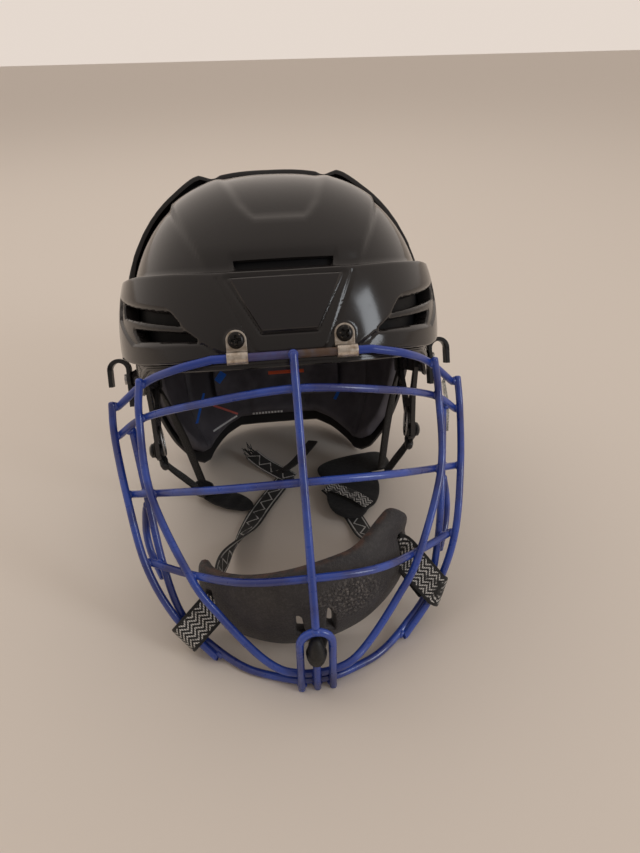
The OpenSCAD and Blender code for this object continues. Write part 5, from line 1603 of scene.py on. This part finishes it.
# %% Clear plate
clear = finish("clear_plate", (0.9, 0.94, 0.93), 0.1, Transmission_Weight=0.92, IOR=1.49)
feed(clear, Roughness=spread(clear, noise(clear, 60, 5, stretch=(1, 6, 2)), 0.35, 0.7, 0.05, 0.38))
bump(clear, noise(clear, 500, 3), 0.2, 0.0001)
soften("clear_plate", clear, 0.3)
print("clear plate material:", clear.name)

# %% [markdown]
# ## Room, light and camera
# The helmet stands on a pale floor in soft light from all sides, with a large lamp overhead and
# a smaller one at the right, like a window. The camera stands where the photographer stood: a
# little left of the middle, looking down by about 32 degrees.

# %% Floor and light
floor_mat = finish("floor_pale", (0.71, 0.64, 0.57), 0.6)
me = bpy.data.meshes.new("floor")
me.from_pydata([(-6, -6, 0), (6, -6, 0), (6, 6, 0), (-6, 6, 0)], [], [(0, 1, 2, 3)])
floor = bpy.data.objects.new("floor", me)
me.materials.append(floor_mat)
bpy.context.scene.collection.objects.link(floor)

world = bpy.data.worlds.new("room")
bpy.context.scene.world = world
world.use_nodes = True
background = world.node_tree.nodes["Background"]
background.inputs["Color"].default_value = (0.78, 0.69, 0.62, 1)
front_to_back = split_axes(world, coords(world, "Generated"))["Y"]
link(world, spread(world, front_to_back, -0.8, 0.7, 0.42, 1.0), background.inputs["Strength"])


def lamp(name, place, aim, size, power, color, in_gloss):
    """A rectangular lamp at place that points at aim. in_gloss: glossy surfaces show it."""
    data = bpy.data.lights.new(name, "AREA")
    data.shape, data.size, data.size_y = "RECTANGLE", size[0], size[1]
    data.energy, data.color = power, color
    lamp_object = bpy.data.objects.new(name, data)
    direction = Vector(aim) - Vector(place)
    lamp_object.rotation_mode = "QUATERNION"
    lamp_object.rotation_quaternion = direction.to_track_quat("-Z", "Y")
    lamp_object.location = place
    lamp_object.visible_glossy = in_gloss
    bpy.context.scene.collection.objects.link(lamp_object)


lamp("ceiling", (-0.5, 0.75, 1.7), (0, 0, 0.1), (2.4, 1.5), 10, (1.0, 0.97, 0.93), in_gloss=False)
lamp("window", (1.5, -1.1, 0.9), (0, 0, 0.12), (0.5, 0.9), 7.5, (0.9, 0.95, 1.0), in_gloss=True)
print("lamps:", len(bpy.data.lights))

# %% Camera at the photographer's place
PHOTO_H, FOCAL = 853, 666.1
EYE = (-26.0, -526.5, 7.6)
YAW, PITCH, ROLL = (math.radians(a) for a in (5.8, 7.7, -3.9))
forward = np.array([math.sin(YAW) * math.cos(PITCH), math.cos(YAW) * math.cos(PITCH),
                    -math.sin(PITCH)])
right = np.array([math.cos(YAW), -math.sin(YAW), 0])
up = np.cross(right, forward)
right, up = (right * math.cos(ROLL) + up * math.sin(ROLL),
             -right * math.sin(ROLL) + up * math.cos(ROLL))
turn = np.array([[1, 0, 0], [0, COS, SIN], [0, -SIN, COS]])
axes = np.stack([turn @ right, turn @ up, -(turn @ forward)], 1)
camera = bpy.data.objects.new("camera", bpy.data.cameras.new("camera"))
camera.data.sensor_fit = "VERTICAL"
camera.data.sensor_height = 36.0
camera.data.lens = FOCAL / PHOTO_H * 36.0
camera.data.clip_start = 0.02
place = rest(np.array(EYE))
camera.matrix_world = Matrix([[*axes[k], place[k]] for k in range(3)] + [[0, 0, 0, 1]])
bpy.context.scene.collection.objects.link(camera)
bpy.context.scene.camera = camera
bpy.context.scene.view_settings.view_transform = "Standard"
print("camera at", np.round(place, 3))
